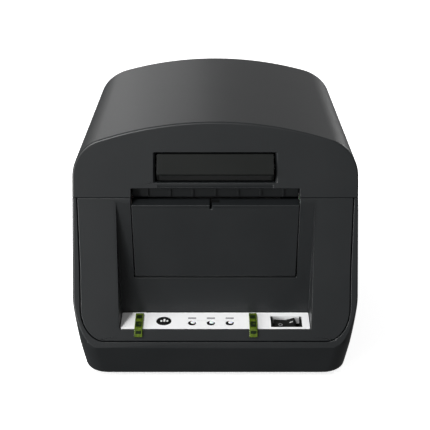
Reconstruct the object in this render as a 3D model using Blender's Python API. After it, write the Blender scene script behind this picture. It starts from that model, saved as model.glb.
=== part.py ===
"""Desktop thermal label printer: hinged cover, peel flap, release lever, roll bay and drive.

Lengths are written in millimetres and turned into metres when a mesh is made. X points
right, -Y towards the user, +Z up; the origin is on the table under the printer's centre.
"""

import math

import bmesh
import bpy
from mathutils import Matrix, Vector

MM = 0.001

# Outer form
WIDTH = 178.0
DEPTH = 215.0
HEIGHT = 155.0
WALL = 2.5
GAP = 0.3
FOOT_HEIGHT = 2.5
PARTING = 110.8
HALF = WIDTH / 2
FRONT = -DEPTH / 2
REAR = DEPTH / 2
PLAN_RADIUS = 12.0
ARCH_RADIUS = 253.0
SHOULDER_RADIUS = 22.0
BOTTOM_RADIUS = 5.0
CHIN_EDGE = 3.0
TAPER_TOP = 52.0
TAPER = 7.3
TAPER_CURVE = 1.4
REAR_TAPER = 1.5
REAR_RADIUS = 9.0
REAR_TOP_RADIUS = 2.5
FACE_LEAN = math.radians(20.2)
FACE_FOOT = 23.0
CHIN_SET_BACK = 3.2

# Front recess, its leaning wall and the control strip on its floor
RECESS_HALF_TOP = 62.0
RECESS_HALF_BOTTOM = 59.7
WALL_LEAN = math.radians(6.5)
STRIP_TILT = math.radians(6.0)
STRIP_FRONT_Z = 33.8
STRIP_DEPTH = 18.6
STRIP_THICK = 1.4
STRIP_LIP = 0.6
BUTTON_X = -32.5
BUTTON_RADIUS = 4.75
LAMP_X = (-14.7, -2.8, 9.1)
LAMP_RADIUS = 2.6
GUIDE_X = (-48.0, 23.8)
GUIDE_WIDTH = 5.0
ROCKER_X = 44.9
ROCKER_SIZE = (19.0, 13.4)

# Peel flap and label slot
SLOT_HALF = 52.6
SLOT_TOP = 116.2
FLAP_TOP_Z = 106.4
FLAP_HALF_TOP = 52.3
FLAP_HALF_BOTTOM = 50.8
FLAP_AXIS_Z = 60.8
FLAP_THICK = 2.4

# Cover hinge, latch and release lever
HINGE_Y, HINGE_Z = 102.5, 112.0
BARREL_RADIUS = 5.0
LEVER_HALF = 36.4
LEVER_TOP = 136.5
LEVER_EDGE = (-72.9, 125.3)
LEVER_BOTTOM = (-69.4, 120.1)
LATCH_Y, LATCH_Z = -60.5, 133.0

# Platen, head and gear train
PLATEN_Y, PLATEN_Z = -57.0, 100.0
PLATEN_RADIUS = 8.0
SHAFT_RADIUS = 3.0
FRAME_X = 55.0
FRAME_THICK = 1.6
GEAR_X = (62.2, 66.2)
GEAR_MODULE = 1.0
PLATEN_TEETH, IDLER_TEETH, PINION_TEETH = 20, 24, 10
MOTOR_Y, MOTOR_Z = -50.5, 63.0
MOTOR_SIZE = 35.0

# Roll bay and its sliding guides
BAY_Y, BAY_Z = 34.5, 72.0
BAY_RADIUS = 60.5
BAY_HALF = 63.0
BAY_FLOOR = 16.0
GUIDE_REST_X = 44.0
RACK_RADIUS = 7.5
RACK_TEETH = 10
HUB_RADIUS = 12.2
ROLL_Z = 66.0


def face_y(z, inset=0.0):
    """Depth of the leaning front face at a height, moved inwards by an inset."""
    return FRONT + (z - FACE_FOOT) * math.tan(FACE_LEAN) + inset / math.cos(FACE_LEAN)


def strip_point(depth, height=0.0, x=0.0):
    """A point on the tilted control strip: depth from its front edge, height above it."""
    cos, sin = math.cos(STRIP_TILT), math.sin(STRIP_TILT)
    return (
        x,
        face_y(STRIP_FRONT_Z) + depth * cos - height * sin,
        STRIP_FRONT_Z + depth * sin + height * cos,
    )


STRIP_NORMAL = Vector((0.0, -math.sin(STRIP_TILT), math.cos(STRIP_TILT)))
WALL_FOOT_Y, WALL_FOOT_Z = strip_point(STRIP_DEPTH + STRIP_LIP)[1:]


def wall_y(z, inset=0.0):
    """Depth of the recess's leaning back wall at a height."""
    return WALL_FOOT_Y + (z - WALL_FOOT_Z) * math.tan(WALL_LEAN) + inset / math.cos(WALL_LEAN)


FLAP_BARREL = 1.5
FLAP_AXIS_Y = wall_y(FLAP_AXIS_Z, FLAP_BARREL)


# ---- Materials -------------------------------------------------------------


def material(name, colour, roughness, metallic=0.0):
    made = bpy.data.materials.get(name)
    if made is None:
        made = bpy.data.materials.new(name)
        made.use_nodes = True
        shader = made.node_tree.nodes["Principled BSDF"]
        shader.inputs["Base Color"].default_value = (*colour, 1.0)
        shader.inputs["Roughness"].default_value = roughness
        shader.inputs["Metallic"].default_value = metallic
    return made


def black_case():
    return material("black_case", (0.028, 0.030, 0.032), 0.45)


def black_fitting():
    return material("black_fitting", (0.012, 0.012, 0.012), 0.55)


def white_strip():
    return material("white_strip", (0.80, 0.80, 0.80), 0.5)


def green_guide():
    return material("green_guide", (0.20, 0.45, 0.03), 0.3)


def clear_lamp():
    return material("clear_lamp", (0.75, 0.77, 0.78), 0.25)


def steel():
    return material("steel", (0.55, 0.55, 0.56), 0.35, 1.0)


def platen_rubber():
    return material("platen_rubber", (0.03, 0.03, 0.03), 0.8)


def white_gear():
    return material("white_gear", (0.72, 0.71, 0.67), 0.45)


def grey_chassis():
    return material("grey_chassis", (0.13, 0.13, 0.135), 0.5)


def circuit_board():
    return material("circuit_board", (0.02, 0.13, 0.05), 0.5)


# ---- Solids ----------------------------------------------------------------


def solid(name, points, faces, paint):
    """An object from points in millimetres, with its faces turned outwards."""
    mesh = bpy.data.meshes.new(name)
    mesh.from_pydata([Vector(point) * MM for point in points], [], faces)
    work = bmesh.new()
    work.from_mesh(mesh)
    bmesh.ops.recalc_face_normals(work, faces=work.faces)
    work.to_mesh(mesh)
    work.free()
    made = bpy.data.objects.new(name, mesh)
    made.data.materials.append(paint)
    bpy.context.collection.objects.link(made)
    return made


def extruded(name, outline, axis, low, high, paint, high_outline=None):
    """A prism along X, Y or Z. The outline's pairs are (y, z), (x, z) or (x, y)."""
    place = {
        "X": lambda pair, along: (along, pair[0], pair[1]),
        "Y": lambda pair, along: (pair[0], along, pair[1]),
        "Z": lambda pair, along: (pair[0], pair[1], along),
    }[axis]
    count = len(outline)
    points = [place(pair, low) for pair in outline]
    points += [place(pair, high) for pair in high_outline or outline]
    faces = [tuple(range(count)), tuple(range(count, 2 * count))]
    for index in range(count):
        after = (index + 1) % count
        faces.append((index, after, after + count, index + count))
    return solid(name, points, faces, paint)


def block(name, low, high, paint):
    corners = [(low[0], low[1]), (high[0], low[1]), (high[0], high[1]), (low[0], high[1])]
    return extruded(name, corners, "Z", low[2], high[2], paint)


def rod(name, start, end, radius, paint, sides=24, end_radius=None):
    """A round bar or cone from one point to another."""
    start, end = Vector(start), Vector(end)
    turn = (end - start).to_track_quat("Z", "Y")
    end_radius = radius if end_radius is None else end_radius
    points = []
    for centre, size in ((start, radius), (end, end_radius)):
        for index in range(sides):
            angle = 2 * math.pi * (index + 0.5) / sides
            edge = Vector((size * math.cos(angle), size * math.sin(angle), 0.0))
            points.append(centre + turn @ edge)
    faces = [tuple(range(sides)), tuple(range(sides, 2 * sides))]
    for index in range(sides):
        after = (index + 1) % sides
        faces.append((index, after, after + sides, index + sides))
    return solid(name, points, faces, paint)


def arc(centre, radius, start, end, steps, depth_radius=None):
    """Points of an arc from one angle to another, in degrees; an ellipse if given two radii."""
    tall = radius if depth_radius is None else depth_radius
    points = []
    for index in range(steps + 1):
        angle = math.radians(start + (end - start) * index / steps)
        points.append((centre[0] + radius * math.cos(angle), centre[1] + tall * math.sin(angle)))
    return points


def combine(target, tool, operation):
    """Applies one exact Boolean to the target and removes the tool."""
    modifier = target.modifiers.new("shape", "BOOLEAN")
    modifier.operation = operation
    modifier.solver = "EXACT"
    modifier.object = tool
    bpy.context.view_layer.update()
    graph = bpy.context.evaluated_depsgraph_get()
    shaped = bpy.data.meshes.new_from_object(target.evaluated_get(graph))
    target.modifiers.clear()
    target.data = shaped
    bpy.data.objects.remove(tool)
    return target


def cut(target, *tools):
    for tool in tools:
        combine(target, tool, "DIFFERENCE")
    return target


def join(target, *tools):
    for tool in tools:
        combine(target, tool, "UNION")
    return target


def keep_inside(target, tool):
    return combine(target, tool, "INTERSECT")


def mirrored_pair(outline):
    """Closes an outline about x = 0 from its right half, listed bottom to top."""
    return outline + [(-x, other) for x, other in reversed(outline) if x > 1e-6]


def smooth(made, angle=35.0):
    made.data.shade_smooth()
    made.data.set_sharp_from_angle(angle=math.radians(angle))


# ---- Outer envelope --------------------------------------------------------

END_STEPS = 5


def half_width(z):
    """Half the body's width at a height: its lower sides draw in on a curve."""
    below = max(0.0, (TAPER_TOP - z) / (TAPER_TOP - FOOT_HEIGHT))
    return HALF - TAPER * below**TAPER_CURVE


def front_outline(inset, side=0.0, top=0.0):
    """The body seen from the front, its sides and its arched top drawn in. The bottom stays."""
    bottom = BOTTOM_RADIUS - inset
    lean = math.radians(11.0)
    start = FOOT_HEIGHT + BOTTOM_RADIUS - bottom * math.sin(lean)
    middle = half_width(start) - inset - side - bottom * math.cos(lean)
    right = arc((middle, FOOT_HEIGHT + BOTTOM_RADIUS), bottom, -90, -math.degrees(lean), 3)
    for z in (15.0, FACE_FOOT, 30.0, 37.0, 44.0, TAPER_TOP, 60.0, 67.0):
        right.append((half_width(z) - inset - side, z))
    shoulder = SHOULDER_RADIUS - inset - top
    shoulder_x = HALF - inset - side - shoulder
    arch_z = HEIGHT - ARCH_RADIUS
    shoulder_z = arch_z + math.sqrt((ARCH_RADIUS - SHOULDER_RADIUS) ** 2 - shoulder_x**2)
    tangent = math.degrees(math.atan2(shoulder_z - arch_z, shoulder_x))
    right += arc((shoulder_x, shoulder_z), shoulder, 0, tangent, 6)
    right += arc((0.0, arch_z), ARCH_RADIUS - inset - top, tangent, 90, 5)[1:]
    return mirrored_pair(right)


def chin_shift(z, inset):
    """How far the chin lies behind the face's foot, with its rounded lower edge."""
    edge = CHIN_EDGE - inset
    lean = CHIN_SET_BACK * max(0.0, FACE_FOOT - z) / (FACE_FOOT - FOOT_HEIGHT)
    below = max(0.0, FOOT_HEIGHT + CHIN_EDGE - z)
    return lean + edge - math.sqrt(max(0.0, edge**2 - below**2))


def envelope(inset, name="envelope"):
    """The body as rings of its outline: sliced by the leaning face, rounded at the rear."""
    radius = PLAN_RADIUS - inset
    turn = FRONT + PLAN_RADIUS
    base = front_outline(inset)
    count = len(base)
    points = []
    for step in range(END_STEPS + 1):
        for x, z in base:
            front = face_y(z, inset) if z >= FACE_FOOT else FRONT + inset
            reach = min(1.0, max(0.0, (turn - front) / radius))
            angle = math.asin(reach) * (1 - step / END_STEPS)
            y = max(front, turn) - radius * math.sin(angle) + chin_shift(z, inset)
            points.append((x - math.copysign(radius * (1 - math.cos(angle)), x), y, z))
    radius = REAR_RADIUS - inset
    top_radius = max(REAR_TOP_RADIUS - inset, 0.5)
    for step in range(END_STEPS + 1):
        angle = math.pi / 2 * step / END_STEPS
        y = REAR - REAR_RADIUS + radius * math.sin(angle)
        past = max(0.0, y - (REAR - inset - top_radius))
        top = top_radius - math.sqrt(max(0.0, top_radius**2 - past**2))
        side = REAR_TAPER + radius * (1 - math.cos(angle))
        points += [(x, y, z) for x, z in front_outline(inset, side, top)]
    last = (2 * END_STEPS + 1) * count
    faces = [tuple(range(last, last + count))]
    foot = next(index for index, (x, z) in enumerate(base) if z == FACE_FOOT)
    faces.append(tuple(range(foot, count - foot)))
    faces += [(index, index + 1, count - 2 - index, count - 1 - index) for index in range(foot)]
    for start in range(0, last, count):
        for index in range(count):
            after = (index + 1) % count
            faces.append((start + index, start + after, start + count + after,
                          start + count + index))
    made = solid(name, points, faces, black_case())
    work = bmesh.new()
    work.from_mesh(made.data)
    bmesh.ops.remove_doubles(work, verts=work.verts, dist=MM / 1000)
    bmesh.ops.recalc_face_normals(work, faces=work.faces)
    work.to_mesh(made.data)
    work.free()
    return made


def slab(low_z, high_z):
    reach = DEPTH
    return block("slab", (-reach, -reach, low_z), (reach, reach, high_z), black_case())


def bezel_outline(grow=0.0):
    """The bezel seen from the front: straight sides and round lower corners."""
    right = [(0.0, 26.7 - grow), (69.0, 26.7 - grow)]
    right += arc((69.0, 46.5), 15.1 + grow, -90, 0, 8, 19.8 + grow)[1:]
    right += [(84.4 + grow, 71.0), (86.0 + grow, PARTING)]
    right += [(86.0 + grow, PARTING + 5)]
    return right + [(-x, z) for x, z in reversed(right) if x > 1e-6]


# ---- Housing, bottom and feet ----------------------------------------------

FOOT_PLACES = [(x, y) for x in (-56.0, 56.0) for y in (-82.0, 86.0)]
SCREW_PLACES = [(x, y) for x in (-67.6, 67.6) for y in (-84.0, 84.0)]
BOSS_RADIUS = 3.9
PLATE_HALF = 72.4
PLATE_FRONT, PLATE_REAR = -99.0, 104.6
PLATE_RADIUS = 9.7


def plate_outline(grow=0.0):
    """The bottom plate seen from above, grown by its clearance for the opening around it."""
    radius = PLATE_RADIUS + grow
    side = PLATE_HALF - PLATE_RADIUS
    right = arc((side, PLATE_FRONT + PLATE_RADIUS), radius, -90, 0, 5)
    right += arc((side, PLATE_REAR - PLATE_RADIUS), radius, 0, 90, 5)
    return right + [(-x, y) for x, y in reversed(right)]


def lower_housing(outer, inner):
    made = outer.copy()
    made.name = "lower_housing"
    made.data = outer.data.copy()
    bpy.context.collection.objects.link(made)
    keep_inside(made, slab(0.0, PARTING - GAP / 2))
    cut(made, inner)
    # The bottom's opening, the front one that the bezel fills, and the edge under the barrel
    cut(made, extruded("open", plate_outline(GAP), "Z", 0.0, FOOT_HEIGHT + WALL + 1, black_case()))
    cut(made, extruded("u", bezel_outline(GAP), "Y", FRONT - 5, -60.0, black_case()))
    rear_top = HINGE_Z - BARREL_RADIUS - GAP
    cut(made, block("rear", (-100, 96.8, rear_top), (100, 120, 130), black_case()))
    for side in (-1, 1):
        arm = block("arm", (66.3, 98.6, 94.0), (71.7, 104.7, HINGE_Z), black_case())
        join(arm, block("root", (66.3, 104.0, 94.0), (71.7, REAR - WALL + 0.4, rear_top - 0.3),
                        black_case()))
        join(arm, rod("eye", (66.3, HINGE_Y, HINGE_Z), (71.7, HINGE_Y, HINGE_Z), 4.2, black_case()))
        cut(arm, rod("bore", (60, HINGE_Y, HINGE_Z), (80, HINGE_Y, HINGE_Z), 1.9, black_case(), 16))
        if side < 0:
            arm.data.transform(Matrix.Diagonal((-1.0, 1.0, 1.0, 1.0)))
            arm.data.flip_normals()
        join(made, arm)
    for x, y in SCREW_PLACES:
        boss = rod("boss", (x, y, 5.4), (x, y, 22.0), BOSS_RADIUS, black_case(), 16)
        reach = math.copysign(half_width(8.0) - 1.0 - (REAR_TAPER if y > 0 else 0.0), x)
        web = block("web", (min(x, reach), y - 1.2, 7.0), (max(x, reach), y + 1.2, 20.0),
                    black_case())
        join(made, boss, web)
        cut(made, rod("hole", (x, y, 0), (x, y, 18.0), 1.7, black_case(), 12))
    # Socket windows in the rear wall
    cut(made, block("usb", (13.7, 95, 11.7), (26.3, 120, 23.3), black_case()))
    cut(made, rod("jack", (48, 95, 18), (48, 120, 18), 5.2, black_case(), 20))
    return made


def bottom_plate():
    made = extruded("bottom_plate", plate_outline(), "Z", FOOT_HEIGHT, FOOT_HEIGHT + 2.4,
                    black_case())
    for x, y in SCREW_PLACES:
        cut(made, rod("hole", (x, y, 0), (x, y, 10), 1.7, black_case(), 12))
        cut(made, rod("sink", (x, y, 0), (x, y, 3.6), 3.3, black_case(), 16))
    for row in range(6):
        y = -30.0 + 12.0 * row
        cut(made, block("vent", (-24, y, 0), (24, y + 3.0, 10), black_case()))
    return made


def feet_and_screws():
    for number, (x, y) in enumerate(FOOT_PLACES, 1):
        rod(f"foot_{number}", (x, y, 0), (x, y, FOOT_HEIGHT - GAP), 7.0, platen_rubber(), 24)
    for number, (x, y) in enumerate(SCREW_PLACES, 1):
        head = rod(f"bottom_screw_{number}", (x, y, 2.6), (x, y, 3.3), 2.9, steel(), 16)
        join(head, rod("shank", (x, y, 3.0), (x, y, 15.0), 1.35, steel(), 12))
        cut(head, block("slot", (x - 4, y - 0.35, 0), (x + 4, y + 0.35, 2.9), steel()))


# ---- Bezel and control strip -----------------------------------------------


def recess_outline(grow=0.0):
    """The recess seen from the side, between the strip's bed, the back wall and the face."""
    cos, sin = math.cos(STRIP_TILT), math.sin(STRIP_TILT)
    front = strip_point(STRIP_LIP - grow * 6, -STRIP_THICK - GAP - grow)
    back = strip_point(STRIP_DEPTH + STRIP_LIP + GAP, -STRIP_THICK - GAP - grow)
    meet = 120.0
    return [
        (front[1], front[2]),
        (back[1] + grow * cos, back[2] + grow * sin),
        (wall_y(meet, grow), meet),
        (face_y(meet) - 40.0, meet),
        (face_y(STRIP_FRONT_Z) - 30.0, STRIP_FRONT_Z),
        (front[1], strip_point(STRIP_LIP)[2]),
    ]


def recess_block(name, grow, reach):
    """The recess as a solid whose sides close in slightly towards the bottom."""
    made = extruded(name, recess_outline(grow), "X", -90, 90, black_case())
    spread = (RECESS_HALF_TOP - RECESS_HALF_BOTTOM) / (107.0 - STRIP_FRONT_Z)
    low, high = 20.0, reach
    bottom = RECESS_HALF_BOTTOM + grow - (STRIP_FRONT_Z - low) * spread
    top = bottom + (high - low) * spread
    sides = [(-bottom, low), (bottom, low), (top, high), (-top, high)]
    return keep_inside(made, extruded("sides", sides, "Y", -160, -40, black_case()))


def front_bezel(outer):
    made = extruded("front_bezel", bezel_outline(), "Y", FRONT - 5, -60.0, black_case())
    keep_inside(made, slab(0.0, PARTING - GAP / 2))
    skin = outer.copy()
    skin.data = outer.data.copy()
    bpy.context.collection.objects.link(skin)
    plate = made.copy()
    plate.data = made.data.copy()
    bpy.context.collection.objects.link(plate)
    keep_inside(made, skin)
    # Hollow behind the face plate, then the recess's own walls
    hollow = extruded(
        "hollow",
        [(face_y(0, WALL), 0), (face_y(130, WALL), 130), (-40, 130), (-40, 0)],
        "X", -100, 100, black_case(),
    )
    cut(made, hollow)
    pocket = recess_block("pocket", WALL, PARTING - GAP / 2)
    keep_inside(pocket, plate)
    in_front = extruded(
        "in_front",
        [(face_y(0), 0), (face_y(130), 130), (-200, 130), (-200, 0)],
        "X", -100, 100, black_case(),
    )
    cut(pocket, in_front)
    join(made, pocket)
    # Bosses that carry the flap's stub pins
    for side in (-1, 1):
        low, high = sorted((side * 51.6, side * 56.0))
        join(made, block("jamb", (low, wall_y(58.0, 1.0), 57.6), (high, FLAP_AXIS_Y + 3.0, 64.4),
                         black_case()))
    cut(made, recess_block("recess", 0.0, 130.0))
    # The opening for the flap, open at its top, and the bores of its pins
    bottom_z = FLAP_AXIS_Z - FLAP_BARREL - 0.35
    low, high = FLAP_HALF_BOTTOM + 0.5, SLOT_HALF
    opening = [(-low, bottom_z), (low, bottom_z), (high, FLAP_TOP_Z), (high, 130.0)]
    opening += [(-high, 130.0), (-high, FLAP_TOP_Z)]
    cut(made, extruded("opening", opening, "Y", -120, -60, black_case()))
    cut(made, rod("bore", (-54.8, FLAP_AXIS_Y, FLAP_AXIS_Z), (54.8, FLAP_AXIS_Y, FLAP_AXIS_Z),
                  1.2, black_case(), 16))
    # Window under the strip for the button, lamps and switch
    window = block("window", (-42.0, -101.0, 20.0), (57.5, -86.4, 34.6), black_case())
    cut(made, window)
    return made


def tilted_block(name, x_low, x_high, depth_low, depth_high, height_low, height_high, paint):
    """A block lying on the control strip's tilted plane."""
    outline = []
    for depth, height in (
        (depth_low, height_low),
        (depth_high, height_low),
        (depth_high, height_high),
        (depth_low, height_high),
    ):
        outline.append(strip_point(depth, height)[1:])
    return extruded(name, outline, "X", x_low, x_high, paint)


def tilted_rod(name, x, depth, low, high, radius, paint, sides=24, end_radius=None):
    start, end = strip_point(depth, low, x), strip_point(depth, high, x)
    return rod(name, start, end, radius, paint, sides, end_radius)


BUTTON_DEPTH = 9.6
LAMP_DEPTH = 8.0
ROCKER_DEPTH = 9.8


def control_strip():
    half = RECESS_HALF_BOTTOM - GAP
    made = tilted_block("control_strip", -half, half, STRIP_LIP + GAP, STRIP_LIP + STRIP_DEPTH,
                        -STRIP_THICK, 0.0, white_strip())
    cut(made, tilted_rod("hole", BUTTON_X, BUTTON_DEPTH, -5, 5, BUTTON_RADIUS + 0.3,
                         white_strip()))
    for x in LAMP_X:
        cut(made, tilted_rod("hole", x, LAMP_DEPTH, -5, 5, LAMP_RADIUS, white_strip(), 20))
    half_x, half_y = ROCKER_SIZE[0] / 2 + GAP, ROCKER_SIZE[1] / 2 + GAP
    cut(made, tilted_block("hole", ROCKER_X - half_x, ROCKER_X + half_x,
                           ROCKER_DEPTH - half_y, ROCKER_DEPTH + half_y, -5, 5, white_strip()))
    return made


def strip_fittings():
    button = tilted_rod("feed_button", BUTTON_X, BUTTON_DEPTH, -6.0, 0.8, BUTTON_RADIUS,
                        black_fitting())
    for number, x in enumerate(LAMP_X, 1):
        lamp = tilted_rod(f"status_lamp_{number}", x, LAMP_DEPTH, -7.0, -0.9, LAMP_RADIUS - 0.4,
                          clear_lamp(), 20)
        smooth(lamp)
    # The lamps' and button's board, under the bed of the strip
    tilted_block("panel_board", -42.0, 18.0, 2.6, 16.4, -10.2, -8.6, circuit_board())
    # Switch body with a cradle for the rocker
    half_x, half_y = ROCKER_SIZE[0] / 2, ROCKER_SIZE[1] / 2
    body = tilted_block("rocker_switch_body", ROCKER_X - half_x, ROCKER_X + half_x,
                        ROCKER_DEPTH - half_y, ROCKER_DEPTH + half_y, -15.0, -0.3,
                        black_fitting())
    cut(body, tilted_block("well", ROCKER_X - half_x + 1.0, ROCKER_X + half_x - 1.0,
                           ROCKER_DEPTH - half_y + 1.0, ROCKER_DEPTH + half_y - 1.0, -8.5, 5.0,
                           black_fitting()))
    rocker = rocker_paddle()
    smooth(button)
    return button, rocker


ROCKER_PIVOT = -3.0
ROCKER_THROW = math.radians(16.0)


def rocker_paddle():
    """The rocker, resting pressed on its left half."""
    half_x, half_y = ROCKER_SIZE[0] / 2 - 1.9, ROCKER_SIZE[1] / 2 - 1.3
    top = 4.6
    outline = [(-half_x, 0.6), (-half_x, top - 0.6), (0.0, top - 2.0), (half_x, top - 0.6)]
    outline += [(half_x, 0.6), (1.6, -2.2), (-1.6, -2.2)]
    points = []
    for side in (-half_y, half_y):
        for along, up in outline:
            turned_x = along * math.cos(ROCKER_THROW / 2) - up * math.sin(ROCKER_THROW / 2)
            turned_up = along * math.sin(ROCKER_THROW / 2) + up * math.cos(ROCKER_THROW / 2)
            points.append(strip_point(ROCKER_DEPTH + side, ROCKER_PIVOT + turned_up,
                                      ROCKER_X + turned_x))
    count = len(outline)
    faces = [tuple(range(count)), tuple(range(count, 2 * count))]
    for index in range(count):
        after = (index + 1) % count
        faces.append((index, after, after + count, index + count))
    return solid("power_rocker", points, faces, black_fitting())


def liner_guide(name, x):
    """A green skid lying across the strip and hooked over the face below it."""
    face_drop = 4.2
    low, high = GAP, 1.5
    outline = [strip_point(depth, height)[1:] for depth, height in
               ((0.5, low), (16.8, low), (16.8, high), (-0.9, high))]
    foot_z = STRIP_FRONT_Z - face_drop
    outline += [(face_y(foot_z, -1.3), foot_z), (face_y(foot_z, -GAP), foot_z)]
    outline += [(face_y(STRIP_FRONT_Z + 0.3, -GAP), STRIP_FRONT_Z + 0.3)]
    return extruded(name, outline, "X", x - GUIDE_WIDTH / 2, x + GUIDE_WIDTH / 2, green_guide())


# ---- Peel flap -------------------------------------------------------------


def peel_flap():
    """The flap in the recess wall, turned back at its top towards the platen."""
    top_front = (face_y(FLAP_TOP_Z), FLAP_TOP_Z)
    front_foot = wall_y(FLAP_AXIS_Z)
    outline = arc((FLAP_AXIS_Y, FLAP_AXIS_Z), FLAP_BARREL, 180, 330, 6)
    outline += [
        (wall_y(70.0, FLAP_THICK), 70.0),
        (wall_y(100.0, FLAP_THICK), 100.0),
        (wall_y(103.0, FLAP_THICK + 1.0), 103.2),
        (-67.2, 105.8),
        (-67.2, 107.6),
        top_front,
        (wall_y(104.6), 104.6),
    ]
    made = extruded("peel_flap", outline, "X", -60, 60, black_case())
    low, high = FLAP_AXIS_Z - 3, 110.0
    slope = (FLAP_HALF_TOP - FLAP_HALF_BOTTOM) / (FLAP_TOP_Z - FLAP_AXIS_Z)
    bottom, top = FLAP_HALF_BOTTOM - 3 * slope, FLAP_HALF_TOP + 3.6 * slope
    sides = [(-bottom, low), (bottom, low), (top, high), (-top, high)]
    keep_inside(made, extruded("sides", sides, "Y", front_foot - 20, -50, black_case()))
    join(made, rod("pins", (-54.4, FLAP_AXIS_Y, FLAP_AXIS_Z), (54.4, FLAP_AXIS_Y, FLAP_AXIS_Z),
                   0.9, black_case(), 12))
    for side in (-1, 1):
        low_x, high_x = sorted((side * 44.2, side * 46.4))
        ear = [(wall_y(88.0, 1.0), 88.0), (-67.0, 90.8), (-66.4, 93.4), (-66.4, 98.0),
               (-69.5, 100.8), (wall_y(101.0, 1.0), 101.0)]
        join(made, extruded("ear", ear, "X", low_x, high_x, black_case()))
    cut(made, rod("bore", (-50, *ROLLER), (50, *ROLLER), 1.4, black_case(), 16))
    return made


ROLLER = (-68.6, 95.6)


def peel_roller():
    made = rod("peel_roller", (-43.6, *ROLLER), (43.6, *ROLLER), 4.0, platen_rubber(), 20)
    join(made, rod("journal", (-47.0, *ROLLER), (47.0, *ROLLER), 1.2, platen_rubber(), 16))
    return made


# ---- Cover and lever -------------------------------------------------------


def top_cover(outer, inner):
    made = outer.copy()
    made.name = "top_cover"
    made.data = outer.data.copy()
    bpy.context.collection.objects.link(made)
    barrel_end = HALF + 2
    barrel = rod("barrel", (-barrel_end, HINGE_Y, HINGE_Z), (barrel_end, HINGE_Y, HINGE_Z),
                 BARREL_RADIUS, black_case(), 24)
    skin = outer.copy()
    skin.data = outer.data.copy()
    bpy.context.collection.objects.link(skin)
    keep_inside(barrel, skin)
    keep_inside(made, slab(PARTING + GAP / 2, HEIGHT + 10))
    cut(made, inner)
    join(made, barrel)
    for side in (-1, 1):
        low, high = sorted((side * 65.9, side * 72.1))
        cut(made, rod("knuckle", (low, HINGE_Y, HINGE_Z), (high, HINGE_Y, HINGE_Z),
                      BARREL_RADIUS + 0.35, black_case(), 24))
        low, high = sorted((side * 60.0, side * 78.0))
        cut(made, rod("bore", (low, HINGE_Y, HINGE_Z), (high, HINGE_Y, HINGE_Z), 1.9,
                      black_case(), 16))
    # The lever's opening, and the label slot's upper half
    half = LEVER_HALF + 1.8
    cut(made, block("opening", (-half, -85, 119.6), (half, -50, 137.3), black_case()))
    cut(made, block("slot", (-SLOT_HALF, -95, 100), (SLOT_HALF, -62, SLOT_TOP), black_case()))
    # Inner ribs: the chassis hangs from these
    for x in (-51.8, 51.8):
        rib = [(-57.0, 126.6), (-8.0, 126.6), (-8.0, 148.2), (-57.0, 148.2)]
        join(made, extruded("rib", rib, "X", x - 1.0, x + 1.0, black_case()))
    return made


def exit_guide():
    """Ribbed guide behind the label slot, over the paper path."""
    made = block("exit_guide", (-SLOT_HALF + 0.5, -67.6, 108.7), (SLOT_HALF - 0.5, -65.2, 117.4),
                 black_case())
    foot = block("foot", (-SLOT_HALF + 0.5, -68.9, 114.9), (SLOT_HALF - 0.5, -66.0, 117.4),
                 black_case())
    join(made, foot)
    for index in range(7):
        x = -42.6 + 14.2 * index
        join(made, block("rib", (x - 0.6, -68.6, 109.3), (x + 0.6, -67.2, 115.2), black_case()))
    return made


def release_lever():
    """The paddle in the face with its hub around the latch shaft."""
    edge_y, edge_z = LEVER_EDGE
    foot_y, foot_z = LEVER_BOTTOM
    outline = [
        (face_y(LEVER_TOP, 0.1), LEVER_TOP),
        (edge_y + 0.5, edge_z + 0.8),
        (edge_y, edge_z),
        (foot_y, foot_z),
        (foot_y + 2.8, foot_z),
        (edge_y + 4.5, edge_z),
        (LATCH_Y - 3.0, LATCH_Z - 1.5),
        (face_y(LEVER_TOP, 2.6), LEVER_TOP),
    ]
    made = extruded("release_lever", outline, "X", -LEVER_HALF, LEVER_HALF, black_case())
    hub = rod("hub", (-33.0, LATCH_Y, LATCH_Z), (33.0, LATCH_Y, LATCH_Z), 3.6, black_case(), 20)
    join(made, hub)
    cut(made, rod("bore", (-40.0, LATCH_Y, LATCH_Z), (40.0, LATCH_Y, LATCH_Z), 2.1,
                  black_case(), 16))
    return made


def latch_hook(side):
    """A steel arm from the latch shaft down to the front of the platen shaft."""
    x = sorted((side * 58.2, side * 60.6))
    outline = arc((LATCH_Y, LATCH_Z), 3.2, 200, -20, 8)
    nose_y = PLATEN_Y - SHAFT_RADIUS - 0.45
    outline += [
        (-57.6, 112.0),
        (-60.2, 106.0),
        (-61.4, 102.6),
        (nose_y, 100.6),
        (nose_y, 99.4),
        (-61.4, 96.4),
        (-65.6, 98.6),
        (-66.4, 112.0),
    ]
    name = "latch_hook_left" if side < 0 else "latch_hook_right"
    made = extruded(name, outline, "X", x[0], x[1], steel())
    cut(made, rod("bore", (x[0] - 1, LATCH_Y, LATCH_Z), (x[1] + 1, LATCH_Y, LATCH_Z), 2.1,
                  steel(), 16))
    return made


def cover_chassis():
    """Steel tray under the cover: it carries the latch shaft, the head and its springs."""
    made = block("cover_chassis", (-50.4, -55.0, 124.0), (50.4, -10.0, 125.6), steel())
    for side in (-1, 1):
        low, high = sorted((side * 48.8, side * 50.4))
        ear = [(-64.6, 129.5), (-62.4, 136.0), (-57.0, 136.0), (-10.0, 125.6),
               (-10.0, 124.0), (-22.0, 111.6), (-30.0, 111.6), (-46.0, 124.0), (-58.0, 127.5)]
        join(made, extruded("ear", ear, "X", low, high, steel()))
    cut(made, rod("latch", (-60, LATCH_Y, LATCH_Z), (60, LATCH_Y, LATCH_Z), 2.1, steel(), 16))
    cut(made, rod("pivot", (-60, HEAD_Y, HEAD_Z), (60, HEAD_Y, HEAD_Z), 1.8, steel(), 16))
    return made


HEAD_Y, HEAD_Z = -26.0, 115.6
SPRING_X = 28.0
SPRING_Y = -48.0


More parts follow.
